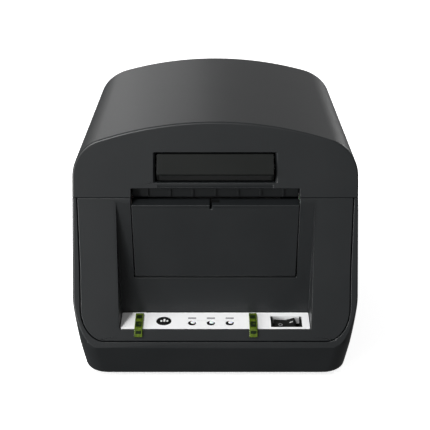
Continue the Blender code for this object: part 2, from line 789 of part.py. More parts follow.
def head_bracket():
    made = block("head_bracket", (-46.0, -62.5, 113.4), (46.0, -22.0, 115.0), steel())
    for side in (-1, 1):
        low, high = sorted((side * 45.0, side * 47.6))
        ear = [(-40.0, 113.4), (-22.0, 112.6), (-22.0, 118.6), (-30.0, 118.6), (-40.0, 115.0)]
        join(made, extruded("ear", ear, "X", low, high, steel()))
    cut(made, rod("pivot", (-50, HEAD_Y, HEAD_Z), (50, HEAD_Y, HEAD_Z), 1.8, steel(), 16))
    return made


def thermal_head():
    made = block("thermal_head", (-43.0, -64.2, 108.4), (43.0, -44.0, 110.6), grey_chassis())
    sink = block("sink", (-43.0, -62.0, 110.4), (43.0, -46.0, 113.1), grey_chassis())
    return join(made, sink)


def spring(name, x, low, high, radius, wire, turns, paint):
    """A closed-wire coil spring standing on Z."""
    steps, sides = turns * 12, 6
    points = []
    for index in range(steps + 1):
        angle = 2 * math.pi * index / 12
        middle = Vector((x + radius * math.cos(angle), SPRING_Y + radius * math.sin(angle),
                         low + wire + (high - low - 2 * wire) * index / steps))
        out = Vector((math.cos(angle), math.sin(angle), 0.0))
        for corner in range(sides):
            turn = 2 * math.pi * corner / sides
            points.append(middle + out * wire * math.cos(turn)
                          + Vector((0.0, 0.0, wire * math.sin(turn))))
    faces = [tuple(range(sides)), tuple(range(steps * sides, (steps + 1) * sides))]
    for index in range(steps):
        for corner in range(sides):
            after = (corner + 1) % sides
            base = index * sides
            faces.append((base + corner, base + after, base + sides + after,
                          base + sides + corner))
    return solid(name, points, faces, paint)


# ---- Drive -----------------------------------------------------------------


def gear_outline(teeth, module, phase=0.0):
    """Straight-sided teeth with enough backlash to turn freely in mesh."""
    pitch = teeth * module / 2
    step = 2 * math.pi / teeth
    outline = []
    for tooth in range(teeth):
        middle = phase + tooth * step
        for radius, offset in (
            (pitch - 1.2 * module, -0.32),
            (pitch + 0.85 * module, -0.10),
            (pitch + 0.85 * module, 0.10),
            (pitch - 1.2 * module, 0.32),
        ):
            angle = middle + offset * step
            outline.append((radius * math.cos(angle), radius * math.sin(angle)))
    return outline


def gear(name, centre, teeth, low, high, phase, paint, axis="X", module=GEAR_MODULE):
    shifted = [(a + centre[0], b + centre[1]) for a, b in gear_outline(teeth, module, phase)]
    return extruded(name, shifted, axis, low, high, paint)


def meshing_phase(teeth, direction, other_teeth, other_phase, other_direction):
    """Phase that puts a gap of this gear where the other gear's tooth points."""
    step, other_step = 2 * math.pi / teeth, 2 * math.pi / other_teeth
    ahead = (other_direction - other_phase) / other_step
    offset = ahead - round(ahead)
    return direction - step * (0.5 - offset) - step * round((direction) / step)


def idler_centre():
    """The idler touches the pitch circles of the platen gear and the motor pinion."""
    first = GEAR_MODULE * (PLATEN_TEETH + IDLER_TEETH) / 2
    second = GEAR_MODULE * (PINION_TEETH + IDLER_TEETH) / 2
    start, end = Vector((PLATEN_Y, PLATEN_Z)), Vector((MOTOR_Y, MOTOR_Z))
    line = end - start
    along = (first**2 - second**2 + line.length_squared) / (2 * line.length)
    away = math.sqrt(first**2 - along**2)
    unit = line.normalized()
    return start + unit * along + Vector((-unit.y, unit.x)) * away


def drive():
    platen = rod("platen_roller", (-42.0, PLATEN_Y, PLATEN_Z), (42.0, PLATEN_Y, PLATEN_Z),
                 PLATEN_RADIUS, platen_rubber(), 32)
    cut(platen, rod("bore", (-50, PLATEN_Y, PLATEN_Z), (50, PLATEN_Y, PLATEN_Z),
                    SHAFT_RADIUS + GAP, platen_rubber(), 20))
    shaft = rod("platen_shaft", (-61.2, PLATEN_Y, PLATEN_Z), (66.8, PLATEN_Y, PLATEN_Z),
                SHAFT_RADIUS, steel(), 20)
    idler = idler_centre()
    to_idler = math.atan2(idler.y - PLATEN_Z, idler.x - PLATEN_Y)
    to_motor = math.atan2(MOTOR_Z - idler.y, MOTOR_Y - idler.x)
    platen_phase = to_idler
    idler_phase = meshing_phase(IDLER_TEETH, to_idler + math.pi, PLATEN_TEETH, platen_phase,
                                to_idler)
    pinion_phase = meshing_phase(PINION_TEETH, to_motor + math.pi, IDLER_TEETH, idler_phase,
                                 to_motor)
    low, high = GEAR_X
    first = gear("platen_gear", (PLATEN_Y, PLATEN_Z), PLATEN_TEETH, low, high, platen_phase,
                 white_gear())
    cut(first, rod("bore", (low - 1, PLATEN_Y, PLATEN_Z), (high + 1, PLATEN_Y, PLATEN_Z),
                   SHAFT_RADIUS + GAP, white_gear(), 20))
    second = gear("idler_gear", tuple(idler), IDLER_TEETH, low, high, idler_phase, white_gear())
    cut(second, rod("bore", (low - 1, *idler), (high + 1, *idler), 2.3, white_gear(), 16))
    third = gear("motor_pinion", (MOTOR_Y, MOTOR_Z), PINION_TEETH, low, high, pinion_phase, steel())
    join(third, rod("spindle", (56.0 - 2.5, MOTOR_Y, MOTOR_Z), (high - 1, MOTOR_Y, MOTOR_Z), 1.6,
                    steel(), 16))
    post = rod("idler_post", (FRAME_X + FRAME_THICK + GAP, *idler), (high + 0.8, *idler), 2.0,
               steel(), 16)
    join(post, rod("flange", (FRAME_X + FRAME_THICK + GAP, *idler),
                   (low - GAP, *idler), 3.6, steel(), 16))
    return platen, shaft, first, second, third


def frame_side(side):
    """One of the two steel plates that carry the platen."""
    x = sorted((side * FRAME_X, side * (FRAME_X + FRAME_THICK)))
    outline = [(-70.0, 40.0), (-30.0, 40.0), (-30.0, 96.0), (-46.0, 106.0), (-66.5, 106.0),
               (-70.0, 98.0)]
    name = "frame_side_left" if side < 0 else "frame_side_right"
    made = extruded(name, outline, "X", x[0], x[1], steel())
    cut(made, rod("bore", (x[0] - 1, PLATEN_Y, PLATEN_Z), (x[1] + 1, PLATEN_Y, PLATEN_Z),
                  5.3, steel(), 24))
    if side > 0:
        cut(made, rod("motor", (x[0] - 1, MOTOR_Y, MOTOR_Z), (x[1] + 1, MOTOR_Y, MOTOR_Z), 6.0,
                      steel(), 20))
    return made


def platen_bush(side):
    """A flanged plastic bush that holds the platen shaft in a frame side."""
    span = sorted((side * 53.2, side * 57.8))
    flange = sorted((side * 53.2, side * 54.7))
    name = "platen_bush_left" if side < 0 else "platen_bush_right"
    made = rod(name, (span[0], PLATEN_Y, PLATEN_Z), (span[1], PLATEN_Y, PLATEN_Z), 5.0,
               white_gear(), 24)
    join(made, rod("flange", (flange[0], PLATEN_Y, PLATEN_Z), (flange[1], PLATEN_Y, PLATEN_Z),
                   6.6, white_gear(), 24))
    cut(made, rod("bore", (span[0] - 1, PLATEN_Y, PLATEN_Z), (span[1] + 1, PLATEN_Y, PLATEN_Z),
                  SHAFT_RADIUS + 0.25, white_gear(), 20))
    return made


def fixed_mechanism():
    for side in (-1, 1):
        frame_side(side)
        platen_bush(side)
    block("frame_crossbar", (-FRAME_X + GAP, -32.6, 42.0), (FRAME_X - GAP, -31.0, 90.0), steel())
    half = MOTOR_SIZE / 2
    motor = block("stepper_motor", (34.0, MOTOR_Y - half, MOTOR_Z - half),
                  (FRAME_X - GAP, MOTOR_Y + half, MOTOR_Z + half), grey_chassis())
    join(motor, rod("pilot", (54.0, MOTOR_Y, MOTOR_Z), (56.4, MOTOR_Y, MOTOR_Z), 5.6,
                    grey_chassis(), 20))
    cut(motor, rod("shaft_hole", (53.0, MOTOR_Y, MOTOR_Z), (58.0, MOTOR_Y, MOTOR_Z), 2.0,
                   grey_chassis(), 16))
    block("media_sensor", (-7.0, -46.0, 92.4), (7.0, -36.0, 99.0), black_fitting())
    for side in (-1, 1):
        ends = sorted((side * 62.2, side * 77.0))
        name = "hinge_pin_left" if side < 0 else "hinge_pin_right"
        rod(name, (ends[0], HINGE_Y, HINGE_Z), (ends[1], HINGE_Y, HINGE_Z), 1.6, steel(), 16)
    block("main_board", (-60.0, -94.0, 8.6), (60.0, -32.0, 10.2), circuit_board())
    socket = block("usb_socket", (14.0, 92.0, 12.0), (26.0, 106.6, 23.0), steel())
    cut(socket, block("mouth", (15.4, 95.0, 13.3), (24.6, 110.0, 21.7), steel()))
    jack = rod("power_jack", (48, 93.5, 18), (48, 106.6, 18), 4.9, black_fitting(), 20)
    cut(jack, rod("mouth", (48, 97.0, 18), (48, 110.0, 18), 3.2, black_fitting(), 16))


# ---- Roll bay --------------------------------------------------------------


def bay_profile(radius, floor, top):
    """A round-bottomed trough in side view, flattened at its floor."""
    drop = math.degrees(math.asin((BAY_Z - floor) / radius))
    outline = [(BAY_Y - radius, top)]
    outline += arc((BAY_Y, BAY_Z), radius, 180, 180 + drop, 6)
    outline += arc((BAY_Y, BAY_Z), radius, 360 - drop, 360, 6)
    outline.append((BAY_Y + radius, top))
    return outline


def media_bay():
    top = 104.0
    wall = 2.0
    half = BAY_HALF + wall
    made = extruded("media_bay", bay_profile(BAY_RADIUS + wall, 11.4, top), "X", -half, half,
                    grey_chassis())
    # The paper apron from the bay's front edge up to the platen
    apron = [(BAY_Y - BAY_RADIUS - wall - 0.1, 96.0), (-48.0, 100.2), (-48.0, 102.0),
             (BAY_Y - BAY_RADIUS + 0.5, 104.0), (BAY_Y - BAY_RADIUS + 0.5, 96.0)]
    join(made, extruded("apron", apron, "X", -44.0, 44.0, grey_chassis()))
    cut(made, extruded("trough", bay_profile(BAY_RADIUS, BAY_FLOOR, top + 20), "X", -BAY_HALF,
                       BAY_HALF, grey_chassis()))
    cut(made, block("groove", (-61, BAY_Y - 15.0, 12.6), (61, BAY_Y + 15.0, 30), grey_chassis()))
    # Pinion post, and a pocket in the apron for the media sensor
    join(made, rod("post", (0, BAY_Y, 12.0), (0, BAY_Y, 15.6), 1.6, grey_chassis(), 16))
    cut(made, block("sensor", (-7.3, -46.3, 90.0), (7.3, -35.7, 99.3), grey_chassis()))
    return made


def rack_outline(start, teeth, tooth_side):
    """A rack along X as seen from above, its teeth pointing to the pinion."""
    pitch_line = BAY_Y + tooth_side * -RACK_RADIUS
    module = 2 * RACK_RADIUS / RACK_TEETH
    pitch = math.pi * module
    root = pitch_line - tooth_side * 1.2 * module
    tip = pitch_line + tooth_side * 0.85 * module
    outline = [(start - 0.5 * pitch, root - tooth_side * 2.6)]
    outline.append((start - 0.5 * pitch, root))
    for tooth in range(teeth):
        middle = start + tooth * pitch
        outline += [(middle - 0.32 * pitch, root), (middle - 0.10 * pitch, tip),
                    (middle + 0.10 * pitch, tip), (middle + 0.32 * pitch, root)]
    end = start + (teeth - 0.5) * pitch
    outline += [(end, root), (end, root - tooth_side * 2.6)]
    return outline


def roll_guide(side):
    """A sliding side guide: upright with a hub pin, a foot and a rack under the floor."""
    name = "roll_guide_left" if side < 0 else "roll_guide_right"
    x = sorted((side * GUIDE_REST_X, side * (GUIDE_REST_X + 2.4)))
    upright = [(BAY_Y - 20.0, BAY_FLOOR + GAP), (BAY_Y + 20.0, BAY_FLOOR + GAP)]
    upright += arc((BAY_Y, ROLL_Z), 17.0, 0, 180, 10)
    made = extruded(name, upright, "X", x[0], x[1], black_fitting())
    module = 2 * RACK_RADIUS / RACK_TEETH
    pitch = math.pi * module
    # On the left guide the teeth face the rear, and on the right guide the front
    tooth_side = -side
    teeth = 11
    tooth_zero = 0.5 * pitch
    start = tooth_zero - pitch * (teeth - 1) if side < 0 else -tooth_zero
    rack = extruded("rack", rack_outline(start, teeth, tooth_side), "Z", 12.9, 15.6,
                    black_fitting())
    back = BAY_Y - tooth_side * (RACK_RADIUS + 1.2 * module)
    web_y = sorted((back, back - tooth_side * 2.4))
    web = block("web", (x[0], web_y[0], 13.5), (x[1], web_y[1], 20.0), black_fitting())
    join(made, web, rack)
    journal = sorted((side * (GUIDE_REST_X - 8.0), side * (GUIDE_REST_X + 0.5)))
    join(made, rod("journal", (journal[0], BAY_Y, ROLL_Z), (journal[1], BAY_Y, ROLL_Z), 3.0,
                   black_fitting(), 16))
    return made


def roll_hub(side):
    name = "roll_hub_left" if side < 0 else "roll_hub_right"
    wide = sorted((side * (GUIDE_REST_X - 9.0), side * (GUIDE_REST_X - GAP)))
    made = rod(name, (wide[0], BAY_Y, ROLL_Z), (wide[1], BAY_Y, ROLL_Z), HUB_RADIUS,
               grey_chassis(), 24)
    cut(made, rod("bore", (wide[0] + (0.6 if side > 0 else -1), BAY_Y, ROLL_Z),
                  (wide[1] + (1 if side > 0 else -0.6), BAY_Y, ROLL_Z), 3.3, grey_chassis(), 16))
    return made


def guide_pinion():
    module = 2 * RACK_RADIUS / RACK_TEETH
    made = gear("guide_pinion", (0.0, BAY_Y), RACK_TEETH, 12.9, 15.6, math.pi / 2, white_gear(),
                axis="Z", module=module)
    return cut(made, rod("bore", (0, BAY_Y, 10), (0, BAY_Y, 20), 1.9, white_gear(), 16))


# ---- Assembly --------------------------------------------------------------


def pivot(name, place, members, parent=None):
    """An empty on a joint's axis that carries the pieces turning or sliding there."""
    made = bpy.data.objects.new(name, None)
    made.empty_display_size = 0.01
    bpy.context.collection.objects.link(made)
    made.location = Vector(place) * MM
    if parent is not None:
        made.parent = parent
        made.location = (Vector(place) * MM) - parent.matrix_world.translation
    bpy.context.view_layer.update()
    for member in members:
        member.parent = made
        member.matrix_parent_inverse = made.matrix_world.inverted()
    return made


def clear_scene():
    for old in list(bpy.data.objects):
        bpy.data.objects.remove(old)


def main():
    clear_scene()
    outer = envelope(0.0, "outer")
    inner_low = envelope(WALL, "inner_low")
    inner_high = inner_low.copy()
    inner_high.data = inner_low.data.copy()
    bpy.context.collection.objects.link(inner_high)

    lower_housing(outer, inner_low)
    front_bezel(outer)
    cover = top_cover(outer, inner_high)
    bpy.data.objects.remove(outer)
    bottom_plate()
    feet_and_screws()
    control_strip()
    button, rocker = strip_fittings()
    for name, x in zip(("liner_guide_left", "liner_guide_right"), GUIDE_X):
        liner_guide(name, x)
    fixed_mechanism()
    media_bay()

    flap, roller = peel_flap(), peel_roller()
    flap_pivot = pivot("flap_pivot", (0, FLAP_AXIS_Y, FLAP_AXIS_Z), [flap])
    pivot("roller_pivot", (0, *ROLLER), [roller], flap_pivot)

    head = [head_bracket(), thermal_head()]
    springs = [spring("head_spring_left", -SPRING_X, 115.3, 123.7, 2.6, 0.45, 4, steel()),
               spring("head_spring_right", SPRING_X, 115.3, 123.7, 2.6, 0.45, 4, steel())]
    pin = rod("head_pivot_pin", (-51.4, HEAD_Y, HEAD_Z), (51.4, HEAD_Y, HEAD_Z), 1.5, steel(), 16)
    cover_pieces = [cover, exit_guide(), cover_chassis(), pin, *springs]
    cover_pivot = pivot("cover_pivot", (0, HINGE_Y, HINGE_Z), cover_pieces)
    pivot("head_pivot", (0, HEAD_Y, HEAD_Z), head, cover_pivot)
    shaft = rod("latch_shaft", (-62.0, LATCH_Y, LATCH_Z), (62.0, LATCH_Y, LATCH_Z), 1.8, steel(),
                16)
    latch = [release_lever(), shaft, latch_hook(-1), latch_hook(1)]
    pivot("lever_pivot", (0, LATCH_Y, LATCH_Z), latch, cover_pivot)

    platen, platen_axle, first, second, third = drive()
    pivot("platen_pivot", (0, PLATEN_Y, PLATEN_Z), [platen, platen_axle, first])
    pivot("idler_pivot", (0, *idler_centre()), [second])
    pivot("pinion_pivot", (0, MOTOR_Y, MOTOR_Z), [third])

    pivot("button_pivot", strip_point(BUTTON_DEPTH, 0.0, BUTTON_X), [button])
    pivot("rocker_pivot", strip_point(ROCKER_DEPTH, ROCKER_PIVOT, ROCKER_X), [rocker])
    for side in (-1, 1):
        guide_pivot = pivot(f"guide_pivot_{'left' if side < 0 else 'right'}",
                            (side * GUIDE_REST_X, BAY_Y, ROLL_Z), [roll_guide(side)])
        pivot(f"hub_pivot_{'left' if side < 0 else 'right'}",
              (side * GUIDE_REST_X, BAY_Y, ROLL_Z), [roll_hub(side)], guide_pivot)
    pivot("guide_pinion_pivot", (0, BAY_Y, 14.0), [guide_pinion()])


main()
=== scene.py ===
"""Finished surfaces of the desktop label printer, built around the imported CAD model.

Lengths are written in millimetres and turned into metres when a mesh is made. X points
right, -Y towards the user, +Z up; the origin is on the table under the printer's centre.
"""

import math

import bmesh
import bpy
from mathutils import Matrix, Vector


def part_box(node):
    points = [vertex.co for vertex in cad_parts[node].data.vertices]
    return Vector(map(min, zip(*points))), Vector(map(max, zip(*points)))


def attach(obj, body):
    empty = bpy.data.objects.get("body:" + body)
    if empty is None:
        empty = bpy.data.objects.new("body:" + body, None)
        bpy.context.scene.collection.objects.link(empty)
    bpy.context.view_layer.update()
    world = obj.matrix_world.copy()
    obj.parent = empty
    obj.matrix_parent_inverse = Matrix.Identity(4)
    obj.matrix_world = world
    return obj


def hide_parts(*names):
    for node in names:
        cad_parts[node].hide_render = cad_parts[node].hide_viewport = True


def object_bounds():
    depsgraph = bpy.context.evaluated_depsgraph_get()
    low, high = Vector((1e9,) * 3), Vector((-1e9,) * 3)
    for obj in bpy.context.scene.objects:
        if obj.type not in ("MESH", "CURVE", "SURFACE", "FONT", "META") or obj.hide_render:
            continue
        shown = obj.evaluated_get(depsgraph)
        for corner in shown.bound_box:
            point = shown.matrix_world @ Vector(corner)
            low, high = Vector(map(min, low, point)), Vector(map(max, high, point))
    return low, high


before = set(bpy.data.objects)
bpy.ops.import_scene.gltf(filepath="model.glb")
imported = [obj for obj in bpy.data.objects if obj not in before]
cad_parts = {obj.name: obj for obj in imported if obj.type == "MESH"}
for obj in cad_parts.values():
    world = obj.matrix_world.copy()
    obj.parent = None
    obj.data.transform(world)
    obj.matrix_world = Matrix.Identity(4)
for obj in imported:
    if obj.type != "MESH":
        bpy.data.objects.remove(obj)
CAD_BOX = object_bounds()

MM = 0.001


def span(node):
    """Lowest and highest corner of a CAD node, in millimetres."""
    low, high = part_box(node)
    return low / MM, high / MM


def middle(node, axis):
    """The centre of a CAD node's box along one axis, in millimetres."""
    low, high = span(node)
    return (low[axis] + high[axis]) / 2


# ---- Driving dimensions ----

BODY_LOW, BODY_HIGH = (corner / MM for corner in CAD_BOX)
HALF = BODY_HIGH.x
FRONT, REAR = BODY_LOW.y, BODY_HIGH.y
HEIGHT = BODY_HIGH.z
FOOT_HEIGHT = span("lower_housing")[0].z
PARTING = span("front_bezel")[1].z + 0.15
WALL = 2.5

# Outer form
PLAN_RADIUS = 12.0
ARCH_RADIUS = 253.0
SHOULDER_RADIUS = 22.0
BOTTOM_RADIUS = 5.0
CHIN_EDGE = 3.0
TAPER_TOP = 52.0
TAPER = 7.3
TAPER_CURVE = 1.4
REAR_TAPER = 1.5
REAR_RADIUS = 9.0
REAR_TOP_RADIUS = 2.5
FACE_LEAN = math.radians(20.2)
FACE_FOOT = 23.0
CHIN_SET_BACK = 3.2
FACE_EDGE = 1.3
SIDE_TOP = 68.0

# Recess, strip and flap
RECESS_HALF_TOP = 62.0
RECESS_HALF_BOTTOM = 59.7
WALL_LEAN = math.radians(6.5)
STRIP_TILT = math.radians(6.0)
STRIP_FRONT_Z = 33.8
STRIP_DEPTH = 18.6
STRIP_THICK = 1.4
STRIP_LIP = 0.6
SLOT_HALF = 52.6
SLOT_TOP = 116.2
FLAP_TOP_Z = 106.4
FLAP_AXIS_Z = 60.8
FLAP_BARREL = 1.5
FLAP_THICK = 2.4
FLAP_PIN = 0.9

# Hinge and lever
HINGE_AXIS = (102.5, 112.0)
HINGE_ARM = (66.3, 71.7)
HINGE_PIN = 1.9
BARREL_RADIUS = 5.0
LEVER_TOP = 136.2
LEVER_EDGE = (-72.9, 125.3)
LEVER_BOTTOM = (-69.4, 120.1)
LEVER_OPENING = (119.6, 137.3)
LATCH_Y, LATCH_Z = LATCH_AXIS = (-60.5, 133.0)


def face_y(z, inset=0.0):
    """Depth of the leaning front face at a height, moved inwards by an inset."""
    return FRONT + (z - FACE_FOOT) * math.tan(FACE_LEAN) + inset / math.cos(FACE_LEAN)


def on_strip(x, depth, height):
    """A point on the tilted control strip: depth from its front edge, height above it."""
    cos, sin = math.cos(STRIP_TILT), math.sin(STRIP_TILT)
    return (
        x,
        face_y(STRIP_FRONT_Z) + depth * cos - height * sin,
        STRIP_FRONT_Z + depth * sin + height * cos,
    )


WALL_FOOT_Y, WALL_FOOT_Z = on_strip(0.0, STRIP_DEPTH + STRIP_LIP, 0.0)[1:]


def wall_y(z, inset=0.0):
    """Depth of the recess's leaning back wall at a height."""
    return WALL_FOOT_Y + (z - WALL_FOOT_Z) * math.tan(WALL_LEAN) + inset / math.cos(WALL_LEAN)


FLAP_AXIS_Y = wall_y(FLAP_AXIS_Z, FLAP_BARREL)
FLAP_AXIS = (FLAP_AXIS_Y, FLAP_AXIS_Z)
ROLLER_AXIS = (middle("peel_roller", 1), middle("peel_roller", 2))


# ---- Materials ----


class Nodes:
    """A material's node tree with short calls for the nodes that the finishes share."""

    def __init__(self, name):
        self.material = bpy.data.materials.new(name)
        self.material.use_nodes = True
        self.tree = self.material.node_tree
        self.shader = self.tree.nodes["Principled BSDF"]
        self.place = self.tree.nodes.new("ShaderNodeTexCoord").outputs["Object"]

    def set(self, **values):
        for name, value in values.items():
            self.shader.inputs[name.replace("_", " ")].default_value = value

    def add(self, kind, **values):
        node = self.tree.nodes.new(f"ShaderNode{kind}")
        for name, value in values.items():
            node.inputs[name].default_value = value
        return node

    def noise(self, scale, detail=2.0, roughness=0.5, stretch=None):
        node = self.add("TexNoise", Scale=scale, Detail=detail, Roughness=roughness)
        place = self.place
        if stretch is not None:
            mapping = self.add("Mapping", Scale=stretch)
            self.tree.links.new(place, mapping.inputs["Vector"])
            place = mapping.outputs["Vector"]
        self.tree.links.new(place, node.inputs["Vector"])
        return node.outputs["Fac"]

    def lead(self, socket, source, low, high, start=0.3, end=0.7):
        """Leads one of the shader's sockets by a source, between two colours or grey levels."""
        node = self.add("ValToRGB")
        node.color_ramp.elements[0].position = start
        node.color_ramp.elements[1].position = end
        for element, colour in zip(node.color_ramp.elements, (low, high)):
            element.color = colour if isinstance(colour, tuple) else (colour, colour, colour, 1.0)
        self.tree.links.new(source, node.inputs["Fac"])
        self.tree.links.new(node.outputs["Color"], self.shader.inputs[socket])

    def colour(self, *settings):
        self.lead("Base Color", *settings)

    def gloss(self, *settings):
        self.lead("Roughness", *settings)

    def bump(self, source, strength, distance):
        node = self.add("Bump", Strength=strength, Distance=distance)
        self.tree.links.new(source, node.inputs["Height"])
        self.tree.links.new(node.outputs["Normal"], self.shader.inputs["Normal"])


def rgb(red, green, blue):
    return (red, green, blue, 1.0)


def finish(name, patches, colours, grain, gloss, bump, **values):
    """Patches of two colours, and a finer noise that leads the gloss and the relief."""
    nodes = Nodes(name)
    nodes.colour(nodes.noise(*patches), *colours)
    fine = nodes.noise(*grain)
    nodes.gloss(fine, *gloss)
    nodes.bump(fine, *bump)
    nodes.set(**values)
    return nodes.material


def moulded(name, dark, light, roughness, grain=2600.0, depth=0.00004, specular=0.5):
    """Moulded plastic: spark-eroded grain, faint flow patches and uneven gloss."""
    gloss = (roughness - 0.05, roughness + 0.05, 0.25, 0.75)
    return finish(name, (34.0, 3.0), (dark, light), (grain, 2.0, 0.6), gloss, (0.35, depth),
                  Specular_IOR_Level=specular)


def black_case():
    return moulded("textured_black_case", rgb(0.0090, 0.0105, 0.0115),
                   rgb(0.0115, 0.0130, 0.0140), 0.40)


def black_fitting():
    return moulded("satin_black_fitting", 0.008, 0.012, 0.34, 1800.0, 0.00002)


# The lever's black: a little darker and far less glossy than the case's, as painted shade
def lever_black_painted_shade():
    return moulded("black_lever_painted_shade", rgb(0.0085, 0.0095, 0.0088),
                   rgb(0.0105, 0.0115, 0.0108), 0.46, 2200.0, 0.00003, 0.12)


# A lighter matt black for the lever's underside: painted light
def underside_painted_light():
    return moulded("black_underside_painted_light", rgb(0.020, 0.021, 0.021), rgb(0.026, 0.027, 0.027), 0.66,
                   1500.0, 0.00004, 0.25)


def soft_key_and_shade_paint():
    """Dull black rubber-coated key top, also laid in the lamp wells and the flap's groove as
    painted shade.
    """
    return moulded("soft_black_key_and_painted_shade", 0.0025, 0.004, 0.62, 2000.0, 0.00002, 0.18)


def grey_chassis():
    return moulded("grey_chassis_moulding", rgb(0.085, 0.086, 0.09), rgb(0.105, 0.106, 0.11), 0.48,
                   1900.0, 0.00005)


def white_strip():
    colours = (rgb(0.94, 0.945, 0.95), rgb(0.965, 0.97, 0.975))
    return finish("satin_white_strip", (60.0,), colours, (2400.0,), (0.30, 0.42), (0.15, 0.00002))


def ink_or_shade_paint(name, colour):
    """A printed or sunk mark, or a dark pad of painted shade, whose colour wears slightly paler in
    places.
    """
    nodes = Nodes(name)
    faded = tuple(min(1.0, part * 1.3 + 0.002) for part in colour[:3]) + (1.0,)
    nodes.colour(nodes.noise(900.0, 3.0), colour, faded, 0.35, 0.65)
    nodes.set(Roughness=0.6, Specular_IOR_Level=0.2)
    return nodes.material


def green_guide():
    nodes = Nodes("clear_green_guide")
    cloud = nodes.noise(420.0, 3.0, 0.6)
    nodes.colour(cloud, rgb(0.080, 0.140, 0.004), rgb(0.24, 0.36, 0.02))
    nodes.gloss(nodes.noise(700.0), 0.10, 0.25)
    nodes.set(Transmission_Weight=0.55, IOR=1.49, Coat_Weight=0.15)
    nodes.bump(nodes.noise(380.0), 0.25, 0.0002)
    return nodes.material


def frosted_lamp():
    nodes = Nodes("frosted_lamp")
    nodes.colour(nodes.noise(300.0), rgb(0.86, 0.87, 0.88), rgb(0.93, 0.94, 0.95))
    nodes.gloss(nodes.noise(900.0), 0.22, 0.34)
    nodes.set(Subsurface_Weight=0.25, Subsurface_Scale=0.002)
    return nodes.material


def plated_steel():
    """Zinc-plated sheet: fine rolling lines and slight cloudiness."""
    colours = (rgb(0.50, 0.51, 0.53), rgb(0.66, 0.67, 0.68))
    lines = (260.0, 3.0, 0.6, (0.12, 6.0, 6.0))
    return finish("plated_steel", (70.0, 4.0, 0.6), colours, lines, (0.24, 0.42),
                  (0.12, 0.00003), Metallic=1.0)


def turned_steel():
    rings = (300.0, 2.0, 0.5, (14.0, 0.4, 0.4))
    return finish("turned_steel", rings, (rgb(0.58, 0.58, 0.59), 0.72), rings, (0.16, 0.30),
                  (0.1, 0.00002), Metallic=1.0)


def blackened_steel():
    nodes = Nodes("blackened_steel")
    cloud = nodes.noise(220.0, 3.0)
    nodes.colour(cloud, rgb(0.018, 0.018, 0.020), rgb(0.035, 0.034, 0.036))
    nodes.gloss(cloud, 0.38, 0.52)
    nodes.set(Metallic=1.0)
    return nodes.material


def black_rubber():
    return finish("black_rubber", (90.0,), (0.018, rgb(0.032, 0.031, 0.030)),
                  (1500.0, 4.0, 0.7), (0.70, 0.88), (0.5, 0.00005))


def white_acetal():
    colours = (rgb(0.66, 0.65, 0.60), rgb(0.76, 0.75, 0.71))
    return finish("white_acetal", (110.0,), colours, (1300.0,), (0.32, 0.46), (0.15, 0.00003),
                  Subsurface_Weight=0.1, Subsurface_Scale=0.001)


def circuit_board():
    """Green solder mask over a faint glass weave and wide copper tracks."""
    nodes = Nodes("solder_mask")
    tracks = nodes.noise(150.0, 1.0, 0.4, (1.0, 3.0, 1.0))
    nodes.colour(tracks, rgb(0.006, 0.050, 0.020), rgb(0.012, 0.095, 0.036), 0.48, 0.52)
    nodes.gloss(nodes.noise(600.0), 0.22, 0.34)
    nodes.bump(tracks, 0.2, 0.00003)
    return nodes.material


FLOOR_GLOW = 0.75


def pale_floor():
    """A back-lit white sweep: it glows a little, so only the deepest shadows show on it."""
    nodes = Nodes("pale_floor")
    nodes.colour(nodes.noise(3.0), 0.93, 0.95)
    nodes.set(Roughness=0.9, Emission_Color=rgb(1.0, 1.0, 1.0), Emission_Strength=FLOOR_GLOW)
    return nodes.material


FINISHES = {
    "black_case": black_case(),
    "black_fitting": black_fitting(),
    "grey_chassis": grey_chassis(),
    "white_strip": white_strip(),
    "green_guide": green_guide(),
    "clear_lamp": frosted_lamp(),
    "steel": plated_steel(),
    "rubber": black_rubber(),
    "white_gear": white_acetal(),
    "circuit_board": circuit_board(),
}
TURNED = turned_steel()
LEVER_SHADE_PAINT = lever_black_painted_shade()
WHITE_INK = ink_or_shade_paint("white_ink", rgb(0.75, 0.75, 0.75))
GREY_INK = ink_or_shade_paint("grey_ink", rgb(0.30, 0.30, 0.31))
# Near-black green laid in the guides' windows and on their nose: painted shade
GREEN_SHADE_PAINT = ink_or_shade_paint("dark_green_pad", rgb(0.003, 0.010, 0.001))
KEY_BLACK_AND_SHADE_PAINT = soft_key_and_shade_paint()
UNDERSIDE_LIGHT_PAINT = underside_painted_light()
BLACK_OXIDE = blackened_steel()


# ---- Mesh tools ----

# The sharpest angle in degrees that stays unrounded, half a print's thickness, and the CAD
# nodes that finished pieces have replaced so far
HARD_EDGE = 38.0
PRINT_HALF = 0.03
REPLACED = set()


def add_object(name, data):
    made = bpy.data.objects.new(name, data)
    bpy.context.collection.objects.link(made)
    return made


def solid(name, points, faces, paint=None):
    """An object from points in millimetres, with its faces turned outwards."""
    mesh = bpy.data.meshes.new(name)
    mesh.from_pydata([Vector(point) * MM for point in points], [], faces)
    work = bmesh.new()
    work.from_mesh(mesh)
    bmesh.ops.remove_doubles(work, verts=work.verts, dist=MM / 1000)
    bmesh.ops.recalc_face_normals(work, faces=work.faces)
    work.to_mesh(mesh)
    work.free()
    if paint is not None:
        mesh.materials.append(paint)
    return add_object(name, mesh)


def band(near, far, count):
    """The faces between two rings of points, given the number of each ring's first point."""
    pairs = [(index, (index + 1) % count) for index in range(count)]
    return [(near + here, near + after, far + after, far + here) for here, after in pairs]


def prism(name, outline, place, low, high, paint=None):
    """A prism from an outline; place turns its pairs and a step along the prism into points."""
    count = len(outline)
    points = [place(*pair, along) for along in (low, high) for pair in outline]
    ends = [tuple(range(count)), tuple(range(count, 2 * count))]
    return solid(name, points, ends + band(0, count, count), paint)


